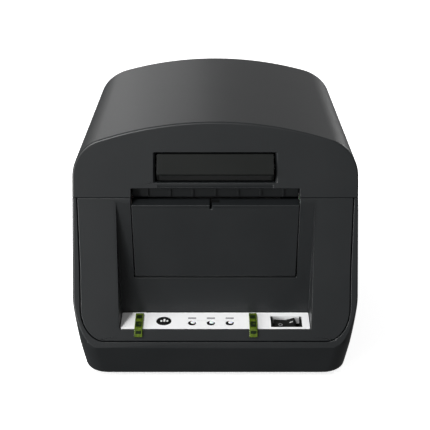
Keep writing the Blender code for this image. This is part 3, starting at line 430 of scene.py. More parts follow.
def extruded(name, outline, axis, low, high, paint=None):
    """A prism along X, Y or Z. The outline's pairs are (y, z), (x, z) or (x, y)."""
    place = {
        "X": lambda y, z, x: (x, y, z),
        "Y": lambda x, z, y: (x, y, z),
        "Z": lambda x, y, z: (x, y, z),
    }[axis]
    return prism(name, outline, place, low, high, paint)


def leaning_prism(name, outline, low, high):
    """A prism that follows the leaning face. The outline's pairs are (x, depth below the face)."""
    return prism(name, outline, lambda x, inset, z: (x, face_y(z, inset), z), low, high)


def rectangle(low, high):
    return [(low[0], low[1]), (high[0], low[1]), (high[0], high[1]), (low[0], high[1])]


def block(name, low, high, paint=None):
    return extruded(name, rectangle(low, high), "Z", low[2], high[2], paint)


def turned(name, start, end, profile, paint=None, sides=48):
    """A turned piece about the line from start to end: profile pairs (share along, radius)."""
    start, end = Vector(start), Vector(end)
    turn = (end - start).to_track_quat("Z", "Y")
    points = []
    for along, radius in profile:
        for index in range(sides):
            angle = 2 * math.pi * (index + 0.5) / sides
            edge = Vector((radius * math.cos(angle), radius * math.sin(angle), 0.0))
            points.append(start.lerp(end, along) + turn @ edge)
    last = (len(profile) - 1) * sides
    faces = [tuple(range(sides)), tuple(range(last, last + sides))]
    for base in range(0, last, sides):
        faces += band(base, base + sides, sides)
    return solid(name, points, faces, paint)


def rod(name, start, end, radius):
    return turned(name, start, end, [(0.0, radius), (1.0, radius)])


def cross_rod(name, low, high, axis, radius):
    """A rod along X, from low to high, about an axis given as (y, z)."""
    return rod(name, (low, *axis), (high, *axis), radius)


def across(side, near, far):
    """The lower and the higher x between two distances from the middle, on one side."""
    return sorted((side * near, side * far))


def arc(centre, radius, start, end, steps, tall=None):
    """Points of an arc from one angle to another, in degrees; an ellipse if given two radii."""
    tall = radius if tall is None else tall
    points = []
    for index in range(steps + 1):
        angle = math.radians(start + (end - start) * index / steps)
        points.append((centre[0] + radius * math.cos(angle), centre[1] + tall * math.sin(angle)))
    return points


def mirrored_pair(outline):
    """Closes an outline about x = 0 from its right half, listed bottom to top."""
    return outline + [(-x, other) for x, other in reversed(outline) if x > 1e-6]


def combine(target, tool, operation):
    """Applies one exact Boolean to the target and removes the tool."""
    modifier = target.modifiers.new("shape", "BOOLEAN")
    modifier.operation = operation
    modifier.solver = "EXACT"
    modifier.object = tool
    bpy.context.view_layer.update()
    graph = bpy.context.evaluated_depsgraph_get()
    shaped = bpy.data.meshes.new_from_object(target.evaluated_get(graph))
    target.modifiers.clear()
    target.data = shaped
    bpy.data.objects.remove(tool)
    return target


def cut(target, tool):
    return combine(target, tool, "DIFFERENCE")


def join(target, tool):
    return combine(target, tool, "UNION")


def keep_inside(target, tool):
    return combine(target, tool, "INTERSECT")


def copy_of(original, name):
    made = original.copy()
    made.data = original.data.copy()
    made.name = name
    bpy.context.collection.objects.link(made)
    return made


def shade(made, angle):
    """Shades a piece smoothly, apart from edges sharper than an angle in degrees."""
    made.data.shade_smooth()
    made.data.set_sharp_from_angle(angle=math.radians(angle))


def round_edges(made, width, segments):
    """Welds a piece, bevels its hard edges and evens its normals, all as modifiers."""
    made.modifiers.new("weld", "WELD").merge_threshold = 1e-6
    bevel = made.modifiers.new("edges", "BEVEL")
    bevel.width = width * MM
    bevel.segments = segments
    bevel.limit_method = "ANGLE"
    bevel.angle_limit = math.radians(HARD_EDGE)
    made.modifiers.new("normals", "WEIGHTED_NORMAL").weight = 80
    return bevel


def soften(made, width):
    """Rounds the hard edges and shades the rest smoothly.

    Faces are split into triangles first, so that a wide face stays flat round its holes.
    """
    work = bmesh.new()
    work.from_mesh(made.data)
    bmesh.ops.dissolve_degenerate(work, edges=work.edges, dist=0.03 * MM)
    bmesh.ops.triangulate(work, faces=work.faces)
    work.to_mesh(made.data)
    work.free()
    shade(made, HARD_EDGE)
    bevel = round_edges(made, width, 3)
    bevel.use_clamp_overlap = False
    bevel.miter_outer = "MITER_ARC"


def finish_piece(made, body, slot, node, paint=None):
    """Lets a piece ride its body and puts it in a CAD node's place, in the slot's finish or
    in a paint of its own."""
    made.data.materials.clear()
    made.data.materials.append(FINISHES[slot])
    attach(made, body)
    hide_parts(node)
    REPLACED.add(node)
    if paint is not None:
        made.data.materials[0] = paint


def detail(made, body, slot=None):
    """A small extra piece that keeps its own paint."""
    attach(made, body)


# ---- Outer form ----


def half_width(z):
    """Half the body's width at a height: its lower sides draw in on a curve."""
    below = max(0.0, (TAPER_TOP - z) / (TAPER_TOP - FOOT_HEIGHT))
    return HALF - TAPER * below**TAPER_CURVE


def front_outline(inset, fine, side=0.0, top=0.0):
    """The body seen from the front, its sides and its arched top drawn in. The bottom stays."""
    bottom = BOTTOM_RADIUS - inset
    lean = math.radians(11.0)
    start = FOOT_HEIGHT + BOTTOM_RADIUS - bottom * math.sin(lean)
    middle = half_width(start) - inset - side - bottom * math.cos(lean)
    right = arc((middle, FOOT_HEIGHT + BOTTOM_RADIUS), bottom, -90, -math.degrees(lean), 3 * fine)
    levels = [right[-1][1], FACE_FOOT, TAPER_TOP, SIDE_TOP]
    for low, high, steps in zip(levels, levels[1:], (2 * fine, 3 * fine, 2 * fine)):
        for index in range(1, steps + 1):
            z = low + (high - low) * index / steps
            right.append((half_width(z) - inset - side, z))
    shoulder = SHOULDER_RADIUS - inset - top
    shoulder_x = HALF - inset - side - shoulder
    arch_z = HEIGHT - ARCH_RADIUS
    shoulder_z = arch_z + math.sqrt((ARCH_RADIUS - SHOULDER_RADIUS) ** 2 - shoulder_x**2)
    tangent = math.degrees(math.atan2(shoulder_z - arch_z, shoulder_x))
    right += arc((shoulder_x, shoulder_z), shoulder, 0, tangent, 5 * fine)
    right += arc((0.0, arch_z), ARCH_RADIUS - inset - top, tangent, 90, 4 * fine)[1:]
    return mirrored_pair(right)


def chin_shift(z, inset):
    """How far the chin lies behind the face's foot, with its rounded lower edge."""
    edge = CHIN_EDGE - inset
    lean = CHIN_SET_BACK * max(0.0, FACE_FOOT - z) / (FACE_FOOT - FOOT_HEIGHT)
    below = max(0.0, FOOT_HEIGHT + CHIN_EDGE - z)
    return lean + edge - math.sqrt(max(0.0, edge**2 - below**2))


def corner_point(x, z, inset, radius, edge, rim, turned_back):
    """A point on a lower front corner: on the rim's small radius, then on the plan radius."""
    turn = FRONT + PLAN_RADIUS
    front = face_y(z, inset)
    if z < FACE_FOOT:
        front, edge = FRONT + inset, 0.0
    centre = front + edge
    meet = math.asin(min(1.0, max(0.0, (turn - centre) / (radius - edge))))
    if turned_back == 0.0:
        angle = math.pi / 2 - (math.pi / 2 - meet) * rim
        reach = (radius - edge) * math.cos(meet) + edge * math.cos(angle)
        y = centre - edge * math.sin(angle)
    else:
        angle = meet * (1 - turned_back)
        reach = radius * math.cos(angle)
        y = max(centre, turn) - radius * math.sin(angle)
    return (x - math.copysign(radius - reach, x), y + chin_shift(z, inset), z)


def envelope(inset, name, fine, edge=0.0):
    """The body as rings of its outline. The face's rim is rounded by the edge radius, the
    lower front corners by the plan radius, and the rear all round."""
    radius = PLAN_RADIUS - inset
    base = front_outline(inset, fine)
    rings = []
    for rim in (step / (2 * fine) for step in range(2 * fine + 1)):
        angle = math.pi / 2 * rim
        drawn = edge * (1 - math.sin(angle))
        ring = []
        for (x, z), (wide_x, wide_z) in zip(front_outline(inset, fine, drawn, drawn), base):
            if wide_z > SIDE_TOP:
                ring.append((x, face_y(z, inset) + edge * (1 - math.cos(angle)), z))
            else:
                ring.append(corner_point(wide_x, wide_z, inset, radius, edge, rim, 0.0))
        rings.append(ring)
    for turned_back in (step / (3 * fine) for step in range(1, 3 * fine + 1)):
        rings.append([(x, face_y(z, inset) + edge, z) if z > SIDE_TOP
                      else corner_point(x, z, inset, radius, edge, 1.0, turned_back)
                      for x, z in base])
    radius = REAR_RADIUS - inset
    top_radius = max(REAR_TOP_RADIUS - inset, 0.5)
    for angle in (math.pi / 2 * step / (4 * fine) for step in range(4 * fine + 1)):
        y = REAR - REAR_RADIUS + radius * math.sin(angle)
        past = max(0.0, y - (REAR - inset - top_radius))
        top = top_radius - math.sqrt(max(0.0, top_radius**2 - past**2))
        side = REAR_TAPER + radius * (1 - math.cos(angle))
        rings.append([(x, y, z) for x, z in front_outline(inset, fine, side, top)])
    count = len(base)
    last = (len(rings) - 1) * count
    foot = next(index for index, (x, z) in enumerate(base) if abs(z - FACE_FOOT) < 1e-6)
    faces = [tuple(range(last, last + count)), tuple(range(foot, count - foot))]
    faces += [(index, index + 1, count - 2 - index, count - 1 - index) for index in range(foot)]
    for base in range(0, last, count):
        faces += band(base, base + count, count)
    return solid(name, [point for ring in rings for point in ring], faces)


def slab(low_z, high_z):
    reach = 2 * REAR
    return block("slab", (-reach, -reach, low_z), (reach, reach, high_z))


def bezel_outline(grow):
    """The bezel seen from the front: straight sides and round lower corners."""
    right = [(0.0, 26.7 - grow), (69.0, 26.7 - grow)]
    right += arc((69.0, 46.5), 15.1 + grow, -90, 0, 24, 19.8 + grow)[1:]
    right += [(84.4 + grow, 71.0), (86.0 + grow, PARTING), (86.0 + grow, PARTING + 5)]
    return mirrored_pair(right)


def rounded_outline(corners, steps=5):
    """An outline from corners (a, b), or (a, b, radius) where a corner is rounded."""
    points = []
    for index, corner in enumerate(corners):
        here = Vector(corner[:2])
        if len(corner) == 2:
            points.append(tuple(here))
            continue
        before = (Vector(corners[index - 1][:2]) - here).normalized()
        after = (Vector(corners[(index + 1) % len(corners)][:2]) - here).normalized()
        reach = corner[2] / math.tan(before.angle(after) / 2)
        start, end = here + before * reach, here + after * reach
        for step in range(steps + 1):
            share = step / steps
            near = start * (1 - share) ** 2 + here * 2 * share * (1 - share)
            points.append(tuple(near + end * share**2))
    return points


def rounded_rectangle(low, high, radius, steps=5):
    return rounded_outline([(*corner, radius) for corner in rectangle(low, high)], steps)


def circle(centre, radius):
    return arc(centre, radius, 0, 360, 32)[:-1]


def printed(name, outline, place, paint, hole=None):
    """A thin print on a surface: an outline, or the ring between it and a hole's outline."""
    count = len(outline)
    rings = [outline] if hole is None else [outline, hole]
    points = [place(u, v, height) for ring in rings for height in (-PRINT_HALF, PRINT_HALF)
              for u, v in ring]
    faces = []
    for base in range(0, len(points), 2 * count):
        faces += band(base, base + count, count)
    if hole is None:
        faces += [tuple(range(count)), tuple(range(count, 2 * count))]
    else:
        faces += band(0, 2 * count, count) + band(count, 3 * count, count)
    return solid(name, points, faces, paint)


# ---- Case shells ----

SEAM_OPENING = 0.45
SEAM_BEZEL = -0.2
FITTING_GAP = 0.3
SCREW_PLACES = [(x, y) for x in (-67.6, 67.6) for y in (-84.0, 84.0)]
SCREW_HOLE = 1.7
FOOT_PLACES = [(x, y) for x in (-56.0, 56.0) for y in (-82.0, 86.0)]
REAR_TOP = HINGE_AXIS[1] - BARREL_RADIUS - FITTING_GAP

# Corners, corner radius and depth of each field in the rear wall: the shallow connector
# panel, a place for a rating plate, and the window of the USB socket
REAR_FIELDS = [
    ((4.0, 8.6), (62.0, 27.4), 3.0, REAR - 0.6),
    ((-62.0, 34.0), (-6.0, 66.0), 2.0, REAR - 0.35),
    ((13.6, 11.6), (26.4, 23.4), 0.6, 95),
]


def plate_outline(grow=0.0):
    """The bottom plate seen from above."""
    low, high = span("bottom_plate")
    return rounded_rectangle((low.x - grow, low.y - grow), (high.x + grow, high.y + grow),
                             9.7 + grow, 10)


def lower_housing(outer, inner):
    """The lower shell with its hinge arms, screw bosses and the fields of its rear wall."""
    made = copy_of(outer, "housing_shell")
    keep_inside(made, slab(0.0, PARTING - FITTING_GAP / 2))
    cut(made, inner)
    cut(made, extruded("open", plate_outline(FITTING_GAP), "Z", 0.0, FOOT_HEIGHT + WALL + 1))
    cut(made, extruded("u", bezel_outline(SEAM_OPENING), "Y", FRONT - 5, -60.0))
    cut(made, block("rear", (-100, 96.8, REAR_TOP), (100, 120, 130)))
    for side in (-1, 1):
        low, high = across(side, *HINGE_ARM)
        arm = block("arm", (low, 98.6, 94.0), (high, 104.7, HINGE_AXIS[1]))
        join(arm, block("root", (low, 104.0, 94.0), (high, REAR - WALL + 0.4, REAR_TOP - 0.3)))
        join(arm, cross_rod("eye", low, high, HINGE_AXIS, 4.2))
        cut(arm, cross_rod("bore", low - 5, high + 5, HINGE_AXIS, HINGE_PIN))
        join(made, arm)
    for x, y in SCREW_PLACES:
        reach = math.copysign(half_width(8.0) - 1.0 - (REAR_TAPER if y > 0 else 0.0), x)
        join(made, rod("boss", (x, y, 5.4), (x, y, 22.0), 3.9))
        join(made, block("web", (min(x, reach), y - 1.2, 7.0), (max(x, reach), y + 1.2, 20.0)))
        cut(made, rod("hole", (x, y, 0), (x, y, 18.0), SCREW_HOLE))
    for low, high, radius, start in REAR_FIELDS:
        field = rounded_rectangle(low, high, radius)
        cut(made, extruded("field", field, "Y", start, REAR + 5))
    cut(made, rod("jack", (48, 95, 18), (48, 120, 18), 5.3))
    soften(made, 0.3)
    finish_piece(made, "housing", "black_case", "lower_housing")


def bottom_plate():
    """The screwed plate underneath, with vents, foot seats and a field for a label."""
    low, high = span("bottom_plate")
    made = extruded("base_plate", plate_outline(), "Z", low.z, high.z)
    for x, y in SCREW_PLACES:
        cut(made, rod("hole", (x, y, 0), (x, y, 10), SCREW_HOLE))
        cut(made, rod("sink", (x, y, 0), (x, y, 3.6), 3.3))
    for row in range(6):
        y = -30.0 + 12.0 * row
        vent = rounded_rectangle((-24, y), (24, y + 3.0), 1.4)
        cut(made, extruded("vent", vent, "Z", 0, 10))
    label = rounded_rectangle((-34, 44), (34, 76), 3.0)
    cut(made, extruded("field", label, "Z", 0, low.z + 0.35))
    for x, y in FOOT_PLACES:
        cut(made, rod("seat", (x, y, 0), (x, y, low.z + 0.3), 8.2))
    soften(made, 0.25)
    finish_piece(made, "housing", "black_case", "bottom_plate")


def feet_and_screws():
    for number, (x, y) in enumerate(FOOT_PLACES, 1):
        low, high = span(f"foot_{number}")
        radius = (high.x - low.x) / 2
        profile = [(0.0, radius - 3.0), (0.25, radius - 2.6), (0.05, radius - 1.6),
                   (0.0, radius - 1.0), (0.10, radius - 0.35), (0.35, radius), (1.0, radius)]
        foot = turned(f"rubber_foot_{number}", (x, y, low.z), (x, y, high.z + 0.4), profile)
        shade(foot, 50)
        finish_piece(foot, "housing", "rubber", f"foot_{number}")
    for number, (x, y) in enumerate(SCREW_PLACES, 1):
        low, high = span(f"bottom_screw_{number}")
        profile = [(0.0, 2.2), (0.03, 2.75), (0.055, 2.9), (0.10, 1.35), (0.97, 1.35), (1.0, 0.9)]
        screw = turned(f"case_screw_{number}", (x, y, low.z), (x, y, high.z), profile, sides=32)
        for reach_x, reach_y in ((1.8, 0.3), (0.3, 1.8)):
            cut(screw, block("cross", (x - reach_x, y - reach_y, 0),
                             (x + reach_x, y + reach_y, low.z + 0.5)))
        shade(screw, 35)
        finish_piece(screw, "housing", "steel", f"bottom_screw_{number}")


# ---- Bezel ----


def recess_outline(grow):
    """The recess seen from the side, between the strip's bed, the back wall and the face."""
    cos, sin = math.cos(STRIP_TILT), math.sin(STRIP_TILT)
    bed = -STRIP_THICK - FITTING_GAP - grow
    front_y, front_z = on_strip(0.0, STRIP_LIP - grow * 6, bed)[1:]
    back_y, back_z = on_strip(0.0, STRIP_DEPTH + STRIP_LIP + FITTING_GAP, bed)[1:]
    meet = 120.0
    return [
        (front_y, front_z),
        (back_y + grow * cos, back_z + grow * sin),
        (wall_y(meet, grow), meet),
        (face_y(meet) - 40.0, meet),
        (face_y(STRIP_FRONT_Z) - 30.0, STRIP_FRONT_Z),
        (front_y, on_strip(0.0, STRIP_LIP, 0.0)[2]),
    ]


def recess_block(name, grow, high):
    """The recess as a solid whose sides close in slightly towards the bottom."""
    made = extruded(name, recess_outline(grow), "X", -90, 90)
    spread = (RECESS_HALF_TOP - RECESS_HALF_BOTTOM) / (107.0 - STRIP_FRONT_Z)
    low = 20.0
    bottom = RECESS_HALF_BOTTOM + grow - (STRIP_FRONT_Z - low) * spread
    top = bottom + (high - low) * spread
    sides = [(-bottom, low), (bottom, low), (top, high), (-top, high)]
    return keep_inside(made, extruded("sides", sides, "Y", -160, -40))


def leaning_block(name, inset, y):
    """A wide block between the leaning face, moved in by an inset, and an upright plane."""
    outline = [(face_y(0, inset), 0), (face_y(130, inset), 130), (y, 130), (y, 0)]
    return extruded(name, outline, "X", -100, 100)


def front_bezel(outer):
    """The bezel's skin with the recess's pocket joined behind it, opened for the flap."""
    made = extruded("bezel_shell", bezel_outline(SEAM_BEZEL), "Y", FRONT - 5, -60.0)
    keep_inside(made, slab(0.0, PARTING - FITTING_GAP / 2))
    plate = copy_of(made, "plate")
    keep_inside(made, copy_of(outer, "skin"))
    cut(made, leaning_block("hollow", WALL, -40))
    pocket = recess_block("pocket", WALL, PARTING - FITTING_GAP / 2)
    keep_inside(pocket, plate)
    cut(pocket, leaning_block("in_front", 0.0, -200))
    join(made, pocket)
    for side in (-1, 1):
        low, high = across(side, 51.6, 56.0)
        join(made, block("jamb", (low, wall_y(58.0, 1.0), 57.6), (high, FLAP_AXIS_Y + 3.0, 64.4)))
    cut(made, recess_block("recess", 0.0, 130.0))
    bottom_z = FLAP_AXIS_Z - FLAP_BARREL - 0.35
    foot = span("peel_roller")[1].x + 4.3
    opening = [(-foot, bottom_z), (foot, bottom_z), (SLOT_HALF, FLAP_TOP_Z), (SLOT_HALF, 130.0),
               (-SLOT_HALF, 130.0), (-SLOT_HALF, FLAP_TOP_Z)]
    cut(made, extruded("opening", opening, "Y", -120, -60))
    cut(made, cross_rod("bore", -54.8, 54.8, FLAP_AXIS, FLAP_PIN + 0.1))
    cut(made, block("window", (-42.0, -101.0, 20.0), (57.5, -86.4, 34.6)))
    soften(made, 0.4)
    finish_piece(made, "housing", "black_case", "front_bezel")


# ---- Control strip ----

BUTTON_X = middle("feed_button", 0)
BUTTON_RADIUS = (span("feed_button")[1].x - span("feed_button")[0].x) / 2
BUTTON_DEPTH = 9.6
LAMP_X = [middle(f"status_lamp_{number}", 0) for number in (1, 2, 3)]
LAMP_RADIUS = 2.6
LAMP_DEPTH = 7.3
LENS_RADIUS = 1.5
LENS_SHIFT_X, LENS_SHIFT_DEPTH = 0.55, 1.1
ROCKER_X = middle("rocker_switch_body", 0)
ROCKER_SIZE = (19.0, 13.4)
ROCKER_DEPTH = 9.8
ROCKER_PIVOT = -3.0
ROCKER_THROW = math.radians(16.0)
ROCKER_HALF_X = (-7.4, 5.4)
ROCKER_HALF_Y = ROCKER_SIZE[1] / 2 - 1.5
ROCKER_SLOPE = math.tan(math.radians(13.0))


def tilted_prism(name, outline, low, high, paint=None):
    """A prism standing on the strip's plane. The outline's pairs are (x, depth)."""
    return prism(name, outline, on_strip, low, high, paint)


def tilted_turned(name, x, depth, profile, sides=48):
    """A turned piece standing on the strip's plane, from pairs of height and radius."""
    return turned(name, on_strip(x, depth, 0.0), on_strip(x, depth, 1.0), profile, sides=sides)


def tilted_bore(x, depth, radius):
    return tilted_turned("bore", x, depth, [(-5.0, radius), (5.0, radius)])


def rocker_rectangle(half_x, half_y, radius):
    """A rounded rectangle on the strip about the rocker's centre."""
    return rounded_rectangle((ROCKER_X - half_x, ROCKER_DEPTH - half_y),
                             (ROCKER_X + half_x, ROCKER_DEPTH + half_y), radius)


def control_strip():
    """The white strip on the recess's floor, and a plain bar behind each lamp."""
    half = RECESS_HALF_BOTTOM - FITTING_GAP
    outline = rounded_rectangle((-half, STRIP_LIP + FITTING_GAP),
                                (half, STRIP_LIP + STRIP_DEPTH), 0.8)
    made = tilted_prism("strip_plate", outline, -STRIP_THICK, 0.0)
    cut(made, tilted_bore(BUTTON_X, BUTTON_DEPTH, BUTTON_RADIUS + 0.12))
    for x in LAMP_X:
        cut(made, tilted_bore(x, LAMP_DEPTH, LAMP_RADIUS))
    half_x, half_y = (size / 2 + FITTING_GAP for size in ROCKER_SIZE)
    cut(made, tilted_prism("hole", rocker_rectangle(half_x, half_y, 0.7), -5.0, 5.0))
    # A white skirt under the strip closes the opening behind the rocker
    far = ROCKER_DEPTH + ROCKER_SIZE[1] / 2
    skirt = rectangle((ROCKER_X - half_x - 0.2, far - 1.0), (ROCKER_X + half_x + 0.2, far + 0.6))
    join(made, tilted_prism("skirt", skirt, -6.0, 0.0))
    soften(made, 0.16)
    finish_piece(made, "housing", "white_strip", "control_strip")
    for number, x in enumerate(LAMP_X, 1):
        bar = rounded_rectangle((x - 2.6, 11.7), (x + 2.6, 13.5), 0.4)
        detail(printed(f"strip_mark_{number}", bar, on_strip, GREY_INK), "housing")


def feed_button():
    radius = BUTTON_RADIUS - 0.1
    profile = [(-6.0, radius), (-0.25, radius), (-0.05, radius - 0.08), (0.10, radius - 0.25),
               (0.18, radius - 0.55), (0.20, radius - 0.95), (0.12, radius - 2.2), (0.06, 0.6)]
    made = tilted_turned("button_cap", BUTTON_X, BUTTON_DEPTH, profile)
    shade(made, 60)
    finish_piece(made, "button", "black_fitting", "feed_button", KEY_BLACK_AND_SHADE_PAINT)
    # A plain mark: three short bars, the middle one longer
    foot = BUTTON_DEPTH - 1.2
    for number, (offset, reach) in enumerate(((-1.9, 1.8), (0.0, 3.2), (1.9, 1.8)), 1):
        left = BUTTON_X + offset - 0.32
        bar = rounded_rectangle((left, foot), (left + 1.24, foot + reach), 0.55)
        mark = printed(f"button_mark_{number}", bar,
                       lambda x, depth, height: on_strip(x, depth, height + 0.13), WHITE_INK)
        detail(mark, "button")


def status_lamps():
    """Three small domed lenses, each off the centre of a black well in the strip: the black beside
    each lens is painted shade, the shaded side of the hole.
    """
    for number, x in enumerate(LAMP_X, 1):
        profile = [(-7.0, 1.3), (-3.0, 1.3), (-2.2, LENS_RADIUS), (-0.30, LENS_RADIUS),
                   (-0.12, 1.35), (-0.02, 1.0), (0.02, 0.5), (0.03, 0.2)]
        lens_x, lens_depth = x + LENS_SHIFT_X, LAMP_DEPTH + LENS_SHIFT_DEPTH
        made = tilted_turned(f"lamp_lens_{number}", lens_x, lens_depth, profile, 32)
        shade(made, 50)
        finish_piece(made, "housing", "clear_lamp", f"status_lamp_{number}")
        # The black well shows beside the lens on the hole's front left: painted shade
        well = tilted_turned(f"lamp_well_{number}", x, LAMP_DEPTH,
                             [(-1.3, LAMP_RADIUS - 0.05), (-0.2, LAMP_RADIUS - 0.05)], 32)
        bore = [(-4.0, LENS_RADIUS + 0.05), (1.0, LENS_RADIUS + 0.05)]
        cut(well, tilted_turned("bore", lens_x, lens_depth, bore, 32))
        well.data.materials.append(KEY_BLACK_AND_SHADE_PAINT)
        detail(well, "housing", "black_fitting")


def rocker_point(along, up, side):
    """A point in the rocker's own axes, at rest pressed on its left half."""
    cos, sin = math.cos(ROCKER_THROW / 2), math.sin(ROCKER_THROW / 2)
    return on_strip(ROCKER_X + along * cos - up * sin, ROCKER_DEPTH + side,
                    ROCKER_PIVOT + along * sin + up * cos)


def rocker_top(along):
    """Height of the rocker's dished top, in its own axes."""
    return 0.1 + ROCKER_SLOPE * math.hypot(along, 0.8)


def rocker_surface(along, side, height):
    """A point on or above the rocker's dished top."""
    return rocker_point(along, rocker_top(along) + height, side)


def power_rocker():
    left, right = ROCKER_HALF_X
    steps = [left + (right - left) * step / 16 for step in range(17)]
    outline = [(left, -1.2)] + [(along, rocker_top(along)) for along in steps]
    outline += [(right + 0.9, -1.2), (1.6, -2.4), (-1.6, -2.4)]
    made = prism("rocker_paddle", outline, rocker_point, -ROCKER_HALF_Y, ROCKER_HALF_Y)
    soften(made, 0.45)
    finish_piece(made, "rocker", "black_fitting", "power_rocker", KEY_BLACK_AND_SHADE_PAINT)
    ring = printed("rocker_mark_off", circle((-3.6, -0.6), 1.35), rocker_surface, GREY_INK,
                   circle((-3.6, -0.6), 0.85))
    bar = printed("rocker_mark_on", rounded_rectangle((2.2, 0.6), (4.4, 1.3), 0.3),
                  rocker_surface, WHITE_INK)
    detail(ring, "rocker")
    detail(bar, "rocker")


def rocker_body():
    half_x, half_y = (size / 2 for size in ROCKER_SIZE)
    made = tilted_prism("rocker_frame", rocker_rectangle(half_x, half_y, 0.6), -15.0, -0.3)
    inside = rocker_rectangle(half_x - 1.0, half_y - 1.0, 0.4)
    cut(made, tilted_prism("well", inside, -8.5, 5.0))
    # The far rim is cut away, where the strip's white skirt stands
    far, reach = ROCKER_DEPTH + half_y, half_x + 1.0
    rim = rectangle((ROCKER_X - reach, far - 1.5), (ROCKER_X + reach, far + 1.0))
    cut(made, tilted_prism("rim", rim, -6.2, 5.0))
    soften(made, 0.2)
    finish_piece(made, "housing", "black_fitting", "rocker_switch_body", KEY_BLACK_AND_SHADE_PAINT)
    for number, x in enumerate((-5.0, 5.0), 1):
        tab = rounded_rectangle((ROCKER_X + x - 0.4, ROCKER_DEPTH - 2.4),
                                (ROCKER_X + x + 0.4, ROCKER_DEPTH + 2.4), 0.3)
        made = tilted_prism(f"rocker_tab_{number}", tab, -19.5, -15.0, FINISHES["steel"])
        detail(made, "housing", "steel")


GUIDE_CROWN = 1.5
GUIDE_FOOT_Z = STRIP_FRONT_Z - 4.2
GUIDE_MARGIN = 0.75
GUIDE_WINDOWS = ((1.0, 7.0), (10.2, 14.4))
GUIDE_STUD_DEPTH = 4.4


def liner_guide(name, node):
    """A clear green skid across the strip, hooked over the face. Two windows in its top and
    one place on its nose hold dark pads of painted shade, and a small stud stands in the first
    window."""
    low, high = span(node)
    sole, crown = FITTING_GAP, GUIDE_CROWN
    left, right = low.x + GUIDE_MARGIN, high.x - GUIDE_MARGIN
    ramp = [(0.5, sole), (16.8, sole), (16.8, crown - 0.35), (15.4, crown), (-0.6, crown)]
    outline = [on_strip(0.0, depth, height)[1:] for depth, height in ramp]
    outline[3] = (*outline[3], 0.8)
    outline[4] = (*outline[4], 0.7)
    outline += [(face_y(GUIDE_FOOT_Z, -1.3), GUIDE_FOOT_Z, 0.5),
                (face_y(GUIDE_FOOT_Z, -FITTING_GAP), GUIDE_FOOT_Z),
                (face_y(STRIP_FRONT_Z + 0.3, -FITTING_GAP), STRIP_FRONT_Z + 0.3)]
    made = extruded(name, rounded_outline(outline), "X", low.x, high.x)
    for number, (near, far) in enumerate(GUIDE_WINDOWS, 1):
        window = rounded_rectangle((left, near), (right, far), 0.4)
        cut(made, tilted_prism("window", window, crown - 0.7, 4.0))
        # The dark pad in each window is painted shade
        pad = tilted_prism(f"{name}_pad_{number}", window, crown - 0.7, crown - 0.15, GREEN_SHADE_PAINT)
        detail(pad, "housing", "green_guide")
    # The dark pad on the nose is painted shade, where the guide hangs over the face
    nose_top, nose_foot = STRIP_FRONT_Z - 0.2, STRIP_FRONT_Z - 1.9
    nose = [(face_y(nose_top, -1.36), nose_top), (face_y(nose_top, -0.9), nose_top),
            (face_y(nose_foot, -0.9), nose_foot), (face_y(nose_foot, -1.36), nose_foot)]
    detail(extruded(f"{name}_pad_3", nose, "X", left, right, GREEN_SHADE_PAINT), "housing", "green_guide")
    stud_x = (low.x + high.x) / 2 + 0.5
    stud = turned(f"{name}_stud", on_strip(stud_x, GUIDE_STUD_DEPTH, crown - 0.3),
                  on_strip(stud_x, GUIDE_STUD_DEPTH, crown + 0.1), [(0.0, 0.6), (1.0, 0.5)],
                  FINISHES["green_guide"], 16)
    detail(stud, "housing", "green_guide")
    soften(made, 0.22)
    finish_piece(made, "housing", "green_guide", node)


# ---- Peel flap and lever ----

# Each slot of the cross groove in the flap's top: its corners in x and y
FLAP_GROOVES = (((-3.5, -80.0), (-2.1, -66.0)), ((-2.6, -72.8), (2.6, -69.4)))


